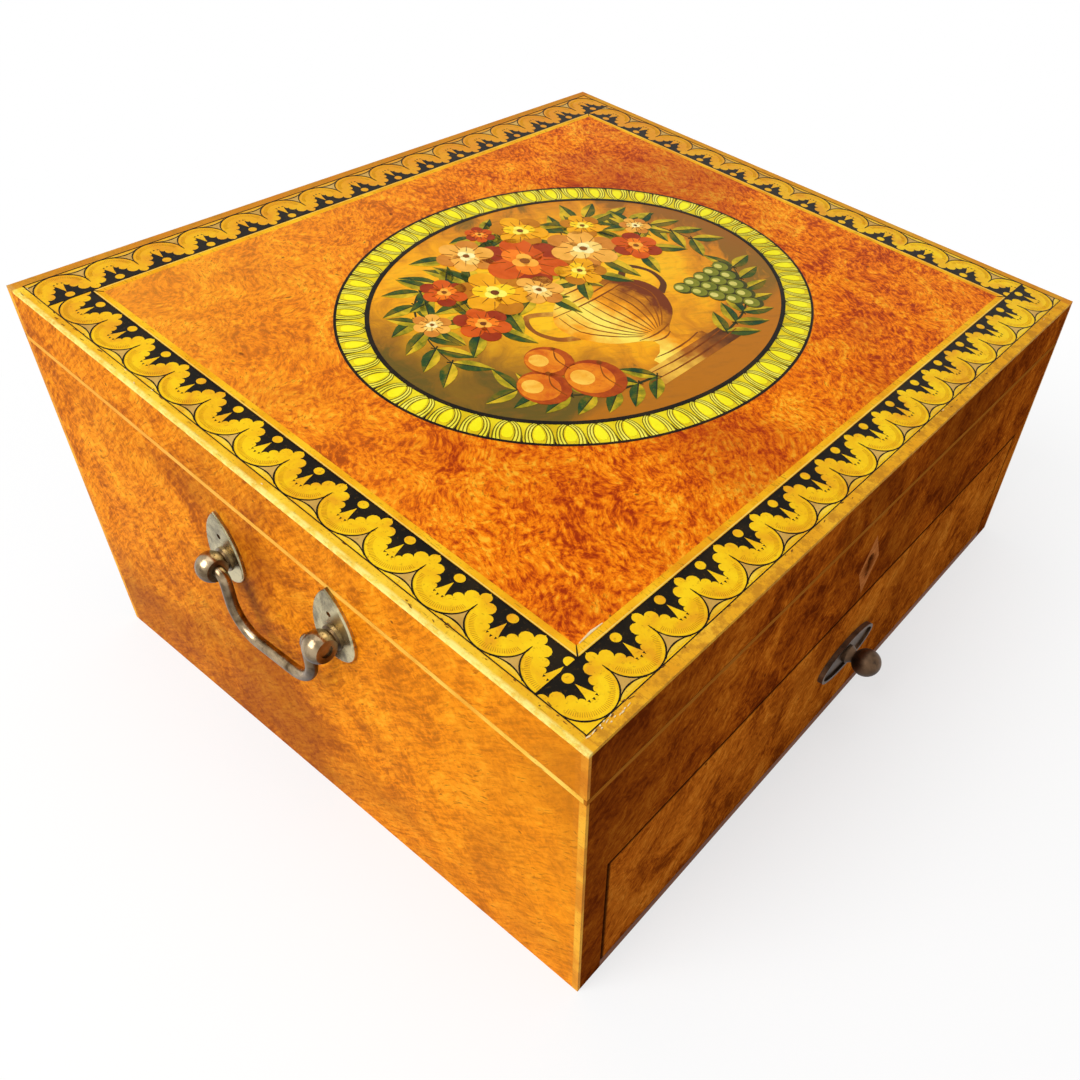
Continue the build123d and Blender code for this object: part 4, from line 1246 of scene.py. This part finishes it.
left_limits, right_limits, floor_limits = (0.065, 0.105), (0.085, 0.12), (-0.044, -0.038)
across = picture.axis(spot, "X")
depth = picture.axis(spot, "Y")
left_dark = picture.mask(-across - depth * 0.5 + cloudy * 0.05, *left_limits)
shade = picture.blend(left_dark * 0.8, shade, colour(92, 80, 26))
right_dark = picture.mask(across + depth * 0.3 + cloudy * 0.05, *right_limits)
shade = picture.blend(right_dark * 0.45, shade, colour(168, 84, 18))
near_floor = 1 - picture.mask(depth + cloudy * 0.012, *floor_limits)
shade = picture.blend(near_floor * 0.8, shade, colour(196, 116, 20))
streaks = picture.noise(picture.stretched(spot, (0, 0, 0.5), (0.3, 1, 1)), 360, 4, 0.65)
shade = picture.blend(picture.mask(streaks, 0.5, 0.72) * 0.4, shade, colour(150, 96, 30))
picture.set("Base Color", shade)
picture.set("Roughness", 0.3 + cloudy * 0.16)
picture.bump(streaks, 0.08, 0.0003)
dress(picture.material, "medallion_panel")
print("picture", round(panel_x * 2, 1), "by", round(panel_y * 2, 1), "mm")

# %% [markdown]
# The urn is one outline, half of it mirrored, and a soft curve gives its belly. Its paint
# is lighter down one side, as a round pot is, so the flat film looks round.


# %% The urn and its plinth
def painted_round(name, bright, middle, dark, half_width):
    """Paint shaded from side to side, as on something round lit from the left."""
    finish = Finish(name, roughness=0.38, coat=0.03, coat_roughness=0.1, shine=0.05)
    point = finish.place()
    wobble = finish.noise(finish.bent(point, 60, 0.01), 120, 5, 0.6)
    tone = abs(finish.axis(point, "X") / half_width + 0.4) + (wobble - 0.5) * 1.1
    finish.set("Base Color", finish.ramp(tone, [(0.0, bright), (0.5, middle), (1.0, dark)]))
    return finish.material


urn_paint = painted_round("urn paint", (255, 232, 96), (246, 158, 22), (118, 50, 8), 0.028)
plinth_paint = painted_round("plinth paint", (244, 190, 70), (170, 96, 24), (92, 48, 14), 0.034)
urn_half = [(15, -47), (15, -44.5), (9.5, -43), (5.5, -40), (5, -37), (8, -34.5)]
urn_half += smooth([(8, -34.5), (19, -28), (26, -17), (25.5, -7), (18, 0.5)], 4)[1:]
urn_half += [(13.5, 3), (12.5, 6), (15.5, 9), (21, 11), (21, 13.5)]
plinth_half = [(29, -56), (29, -52.5), (23, -51), (23, -47)]
handle_curve = smooth([(20, -2), (30, 3), (35, -5), (32, -14), (25, -18)])
handle_curves = (handle_curve, mirrored(handle_curve))
handles = [stroke(curve, [3.2, 1.8, 3.2]) for curve in handle_curves]
film("picture_plinth", [plinth_half + mirrored(reversed(plinth_half))], 0.05, plinth_paint)
film("picture_urn_handles", handles, 0.05, plinth_paint)
film("picture_urn", [urn_half + mirrored(reversed(urn_half))], 0.07, urn_paint)

# %% [markdown]
# Pen lines mark the lip, the shoulder, the flutes and the foot. A line across something
# round sags in the middle when it is seen from a little above, so each is a shallow bow,
# at its own height and as long as the urn is wide there.

# %% Pen lines on the urn
urn_lines = []
sag = 1.3
bows = [(12.5, 20.5), (10, 19), (5.5, 12.3), (0, 18), (-3.5, 22.5), (-33.5, 9), (-37, 5.2)]
bows += [(-44, 13), (-48.5, 22), (-52, 27)]
for y, half_width in bows:
    bow = [(half_width * t, y - sag * (1 - t * t)) for t in (-1, -0.5, 0, 0.5, 1)]
    urn_lines.append(stroke(bow, [0.3, 0.8, 0.45]))
for x in range(-15, 16, 3):
    flute = smooth([(x * 0.4, -32.5), (x * 0.95, -26), (x * 1.45, -16), (x * 1.4, -5)], 3)
    urn_lines.append(stroke(flute, [0.3, 0.75, 0.25]))
shading_ink = ink("shading brown", [(110, 48, 6), (150, 78, 10)], (90, 42, 8), 0.4)
film("picture_urn_lines", urn_lines, 0.1, shading_ink)

# %% [markdown]
# Leaves follow curved stems. The third tree walks along a curve, sets a leaf at every
# step and leans it to one side of the curve; a second run with the lean turned over gives
# the other side.


# %% The tree for a spray
def spray_tree():
    kinds = {
        "Path": "NodeSocketObject",
        "Motif": "NodeSocketObject",
        "Paint": "NodeSocketMaterial",
        "Count": "NodeSocketInt",
        "Lean": "NodeSocketFloat",
    }
    tree, start, out = new_tree("leaves along a stem", kinds)
    path = add(tree, "GeometryNodeObjectInfo", {}, {"Object": start.outputs["Path"]})
    curve = add(tree, "GeometryNodeMeshToCurve", {}, {0: path.outputs["Geometry"]})
    links = {0: curve.outputs[0]}
    soft = add(tree, "GeometryNodeCurveSplineType", {"spline_type": "CATMULL_ROM"}, links)
    links = {"Curve": soft.outputs[0], "Count": start.outputs["Count"]}
    steps = add(tree, "GeometryNodeResampleCurve", {}, links)
    tangent = add(tree, "GeometryNodeInputTangent")
    links = {"Vector": tangent.outputs[0]}
    along = add(tree, "FunctionNodeAlignRotationToVector", {"axis": "X"}, links)
    lean = add(tree, "ShaderNodeCombineXYZ", {}, {"Z": start.outputs["Lean"]})
    links = {"Rotation": along.outputs[0], "Rotate By": lean.outputs[0]}
    turn = add(tree, "FunctionNodeRotateRotation", {"rotation_space": "LOCAL"}, links)
    return finish_tree(tree, out, steps.outputs[0], turn.outputs[0], start)


sprays = spray_tree()
print("spray tree of", len(sprays.nodes), "nodes")

# %% [markdown]
# A painted leaf has a light half, a dark half and a rib between them. The stems of a
# spray are plain edges from point to point, which the tree makes soft.


# %% One leaf, in halves
def leaf_halves(length, width):
    """The outlines of the light half, the dark half and the rib."""
    edge = []
    for t in (0.1, 0.25, 0.4, 0.6, 0.8):
        edge.append((length * t, width / 2 * math.sin(math.pi * t**0.8) + 0.05))
    upper = [(0, 0.04), *edge, (length, 0.04)]
    rib = stroke([(-length * 0.12, 0), (length * 0.5, 0), (length * 0.95, 0)], [0.5, 0.4, 0.15])
    return [upper], [[(x, -y) for x, y in upper]], [rib]


def stem_path(name, points):
    mesh = bpy.data.meshes.new(name)
    edges = [(n, n + 1) for n in range(len(points) - 1)]
    mesh.from_pydata([(x * mm, y * mm, 0) for x, y in points], edges, [])
    return bpy.data.objects.new(name, mesh)


light_shades = [(120, 118, 18), (182, 158, 28), (230, 188, 40)]
dark_shades = [(20, 58, 34), (58, 80, 24), (124, 104, 20)]
light_leaf = ink("light leaf", light_shades, (222, 162, 28), 0.4, 110)
dark_leaf = ink("dark leaf", dark_shades, (150, 112, 22), 0.3, 110)
rib_ink = ink("rib olive", [(30, 36, 14), (48, 48, 18)], (110, 96, 30), 0.3)
leaf_paints = [("light", light_leaf, 0.08), ("dark", dark_leaf, 0.08), ("ribs", rib_ink, 0.11)]
print(len(leaf_paints), "paints for a leaf")

# %% [markdown]
# An upper and a lower spray stand on each side of the urn, and the two sides mirror each
# other. Each part of the leaf runs through the tree for both stems and both leans, and
# the four meshes become one piece. The stem is a pen line under the leaves.

# %% Sprays
lean = 0.8
upper_spray = [(30, 38), (46, 41), (60, 31), (69, 14), (72, 0)]
lower_spray = [(22, -51), (40, -47), (55, -38), (66, -25)]
stems = {"upper_spray": (upper_spray, 8, 15), "lower_spray": (lower_spray, 7, 14)}
for name, (points, count, length) in stems.items():
    paths = [stem_path(name, points), stem_path(name, mirrored(points))]
    for outlines, (half, paint, thickness) in zip(leaf_halves(length, length * 0.4), leaf_paints):
        inputs = {"Motif": motif(name + half, outlines, thickness), "Paint": paint}
        parts = []
        for path in paths:
            for side in (lean, -lean):
                parts.append(grow(sprays, Path=path, Count=count, Lean=side, **inputs))
        lay_on_lid("picture_" + name + "_" + half, joined(parts, name), paint)
    soft = smooth(points)
    lines = [stroke(stem_line, [1.1, 0.8, 0.3]) for stem_line in (soft, mirrored(soft))]
    film("picture_" + name + "_stems", lines, 0.06, rib_ink)

# %% [markdown]
# ## Fruit and flowers
# A painter builds a round fruit from three tones: a dark disc, a smaller middle one
# towards the light and a small bright one. Peaches lie at the left of the plinth and a
# bunch of grapes at the right. Each tone of each fruit is one film of many discs.


# %% Fruit
def disc(x, y, radius, steps=20):
    return arc((x, y), (radius, radius), 0, 360 * (1 - 1 / steps), steps - 1)


def fruit(name, places, inks, lowest=0.13):
    """Three discs for each fruit: a tone, its share of the radius and its shift."""
    steps = (("dark", 1, 0), ("middle", 0.8, 0.13), ("light", 0.4, 0.3))
    for n, ((tone, share, shift), paint) in enumerate(zip(steps, inks)):
        discs = [disc(x - r * shift, y + r * shift, r * share) for x, y, r in places]
        film("picture_" + name + "_" + tone, discs, lowest + 0.03 * n, paint)


print("a fruit is three discs")

# %% [markdown]
# Three peaches lie on the left, each with a crease and the mark of its stalk, and a bunch
# of grapes hangs together in a triangle on the right.

# %% Peaches and grapes
peach_places = [(-40, -38, 11), (-58, -30, 9.5), (-45, -21, 9)]
peach_inks = [
    ink("peach dark", [(156, 56, 14), (190, 84, 20)], (130, 50, 14), 0.4, 160),
    ink("peach middle", [(214, 100, 20), (238, 140, 28)], (190, 84, 18), 0.4, 160),
    ink("peach light", [(246, 172, 50), (254, 204, 84)], (230, 140, 40), 0.4, 160),
]
grape_places, grape_radius, grape_rows = [], 4.1, 5
for row in range(grape_rows):
    for n in range(grape_rows - row):
        grape_places.append((35 + 6.8 * n + 3.4 * row, -22 - 6 * row, grape_radius))
grape_inks = [
    ink("grape dark", [(52, 54, 18), (76, 74, 24)], (40, 40, 14), 0.4, 160),
    ink("grape middle", [(104, 112, 32), (138, 136, 40)], (84, 88, 26), 0.4, 160),
    ink("grape light", [(198, 190, 84), (228, 214, 120)], (160, 150, 60), 0.3, 160),
]
fruit("peaches", peach_places, peach_inks)
creases, bend = [], ((0.75, 0.45), (0.3, -0.1), (0.25, -0.85))
for x, y, r in peach_places:
    crease = smooth([(x + r * to_right, y + r * to_back) for to_right, to_back in bend])
    creases.append(stroke(crease, [0.15, 0.6, 0.15]))
    creases.append(disc(x + r * 0.75, y + r * 0.48, r * 0.1, 8))
film("picture_peach_creases", creases, 0.22, shading_ink)
fruit("grapes", grape_places, grape_inks)

# %% [markdown]
# A rose is two rings of petals round a heart. Petals that lie side by side alternate
# between two tones, so that each keeps its own edge without an outline.


# %% Petals
def petals(x, y, radius, count, first, every, turn, middle, length, width):
    """Every so many petals of a ring, each a soft oval whose long axis points outwards."""
    oval = arc((radius * middle, 0), (radius * length, radius * width), 0, 340, 17)
    petal = [(u, v * (1 + 0.25 * u / radius)) for u, v in oval]
    angles = [2 * math.pi * k / count + turn for k in range(first, count, every)]
    return [turned(petal, (x, y), a) for a in angles]


print("a petal for every angle")

# %% [markdown]
# The bouquet is built round one large flower. Each place is two coordinates, a radius and
# a tint: 0 for orange, 1 for yellow, 2 for cream. Five bigger leaves stand out behind
# every flower, turned a little further from one to the next. A leaf whose tip would leave
# the oval isn't painted.

# %% The places of the flowers, and their leaves
flower_places = [
    (0, 31, 19, 0),
    (-27, 22, 15.5, 1),
    (27, 23, 15.5, 2),
    (-16, 48, 12.5, 2),
    (17, 49, 12.5, 1),
    (-46, 10, 11, 0),
    (47, 11, 11, 0),
    (-12, 13, 10.5, 2),
    (12, 12.5, 11, 1),
    (-42, 34, 9.5, 0),
    (42, 36, 9.5, 1),
    (1, 57, 6.5, 0),
    (-61, 21, 7.5, 2),
    (61, 22, 7, 2),
]
leaves_round, reach_of_oval = 5, 0.92
leaf_parts = ([], [], [])
for n, (x, y, radius, _) in enumerate(flower_places):
    for k in range(leaves_round):
        a = 2 * math.pi * k / leaves_round + 0.5 * n
        leaf_length = radius * 0.9 + 5.5
        centre, tip = turned([(radius * 0.6, 0), (radius * 0.6 + leaf_length, 0)], (x, y), a)
        if (tip[0] / panel_x) ** 2 + (tip[1] / panel_y) ** 2 > reach_of_oval:
            continue
        for outlines, parts in zip(leaf_halves(leaf_length, radius * 0.3 + 3), leaf_parts):
            parts += [turned(outline, centre, a) for outline in outlines]
for parts, (half, paint, thickness) in zip(leaf_parts, leaf_paints):
    film("picture_bouquet_leaves_" + half, parts, thickness + 0.05, paint)

# %% [markdown]
# Flowers of one tint share their films. From the outer ring to the heart every layer is a
# little thicker than the one under it. A row of the table is half a ring: the number of
# petals round, the first one, the step to the next, the turn, then where the middle of a
# petal lies, its length and its width as shares of the radius, the shade and the
# thickness of the film.

# %% Flowers
tints = {
    "orange": [(150, 44, 6), (206, 80, 10), (240, 120, 20), (254, 172, 56)],
    "yellow": [(188, 112, 8), (236, 160, 12), (255, 200, 24), (255, 232, 90)],
    "cream": [(204, 124, 36), (238, 168, 62), (250, 204, 104), (255, 234, 160)],
}
lift = 14
petal_rings = [
    (6, 0, 2, 0.0, 0.56, 0.46, 0.34, 0, 0.17),
    (6, 1, 2, 0.0, 0.52, 0.44, 0.33, 1, 0.20),
    (5, 0, 2, 0.4, 0.30, 0.32, 0.26, 1, 0.23),
    (5, 1, 2, 0.4, 0.26, 0.30, 0.25, 2, 0.26),
    (3, 0, 1, 0.9, 0.12, 0.18, 0.16, 3, 0.29),
]
for tint, (tint_name, shades) in enumerate(tints.items()):
    inks = []
    for k, shade in enumerate(shades):
        lighter = [min(255, channel + lift) for channel in shade]
        inks.append(ink(tint_name + " petal " + str(k), [shade, lighter], shade, 0.2, 150))
    for n, (count, first, every, turn, *size, shade, thickness) in enumerate(petal_rings):
        outlines = []
        for x, y, radius, flower_tint in flower_places:
            if flower_tint == tint:
                outlines += petals(x, y, radius, count, first, every, turn + x, *size)
        film("picture_" + tint_name + "_petals_" + str(n), outlines, thickness, inks[shade])

# %% [markdown]
# Every flower has a dark heart, and fine pen lines run out into its petals, long and short
# by turns. They lie over all the petals, so they are the thickest film of all.

# %% Hearts and pen lines of the flowers
heart_paint = ink("flower heart", [(110, 52, 12), (150, 84, 18)], (80, 44, 10))
lines_round = 12
hearts = []
for x, y, radius, _ in flower_places:
    hearts.append(disc(x, y, radius * 0.11, 12))
    for k in range(lines_round):
        a = 2 * math.pi * k / lines_round + x
        inner, outer = radius * (0.3 + 0.12 * (k % 2)), radius * (0.62 + 0.16 * (k % 2))
        ends = [(x + reach * math.cos(a), y + reach * math.sin(a)) for reach in (inner, outer)]
        hearts.append(stroke(ends, [0.35, 0.1]))
film("picture_flower_hearts", hearts, 0.32, heart_paint)

# %% [markdown]
# ## Floor, light and background
# The box stands on a plain pale floor. The floor and the sky are white only to the camera
# and to reflections, so that the white adds no light to the box. Near the box the floor
# keeps some of its own shade, and the box's shadow shows.


# %% The floor, and which rays see it white
def seen_as_white(tree, *kinds):
    """1 for the rays that should see a white background, and 0 for the light on the box."""
    seen = shader_node(tree, "ShaderNodeLightPath", {}, {}, kinds[0])
    for kind in kinds[1:]:
        seen = seen.larger(shader_node(tree, "ShaderNodeLightPath", {}, {}, kind))
    return seen


half_floor = 3
shadow_reach, least_white = (0.1, 0.42), 0.6
square = ((-1, -1), (1, -1), (1, 1), (-1, 1))
floor_mesh = bpy.data.meshes.new("floor")
floor_mesh.from_pydata([(x * half_floor, y * half_floor, 0) for x, y in square], [], [range(4)])
floor = bpy.data.objects.new("floor", floor_mesh)
bpy.context.scene.collection.objects.link(floor)
ground_finish = Finish("floor", roughness=0.9, shine=0)
ground_finish.set("Base Color", colour(246, 246, 246))
pure_white = ground_finish.node("ShaderNodeEmission")
own_shade = Value(ground_finish.tree, ground_finish.shader.outputs[0])
away = ground_finish.mask(ground_finish.length(ground_finish.place()), *shadow_reach)
whiteness = away * (1 - least_white) + least_white
white_share = seen_as_white(ground_finish.tree, "Is Camera Ray", "Is Glossy Ray") * whiteness
shaders = {0: white_share, 1: own_shade, 2: pure_white}
mixed = ground_finish.node("ShaderNodeMixShader", {}, shaders)
surface = ground_finish.tree.nodes["Material Output"].inputs["Surface"]
ground_finish.tree.links.new(mixed.socket, surface)
floor_mesh.materials.append(ground_finish.material)
print("floor of", round(floor.dimensions.x, 1), "m")

# %% [markdown]
# The light is soft: a large lamp to the left and above, as the sun stood in the
# photograph, a weaker one overhead, and a dim sky all round.

# %% World and lamps
world = bpy.data.worlds.new("studio")
bpy.context.scene.world = world
world.use_nodes = True
background = world.node_tree.nodes["Background"]
background.inputs["Color"].default_value = (1, 1, 1, 1)
sky_strength = 0.24
white = seen_as_white(world.node_tree, "Is Camera Ray", "Is Glossy Ray", "Is Transmission Ray")
strength = white * (1 - sky_strength) + sky_strength
world.node_tree.links.new(strength.socket, background.inputs["Strength"])


def lamp(name, place, target, size, power):
    data = bpy.data.lights.new(name, "AREA")
    data.size = size
    data.energy = power
    lamp_object = bpy.data.objects.new(name, data)
    lamp_object.location = place
    direction = Vector(target) - Vector(place)
    lamp_object.rotation_euler = direction.to_track_quat("-Z", "Y").to_euler()
    bpy.context.scene.collection.objects.link(lamp_object)


lamp("key lamp", (-1.5, 0.35, 1.5), (0, 0, 0.08), size=1.3, power=37)
lamp("top lamp", (0.2, 0.2, 2.0), (0, 0, 0.1), size=1.6, power=12)
bpy.context.scene.view_settings.view_transform = "Standard"
print("sky", sky_strength)
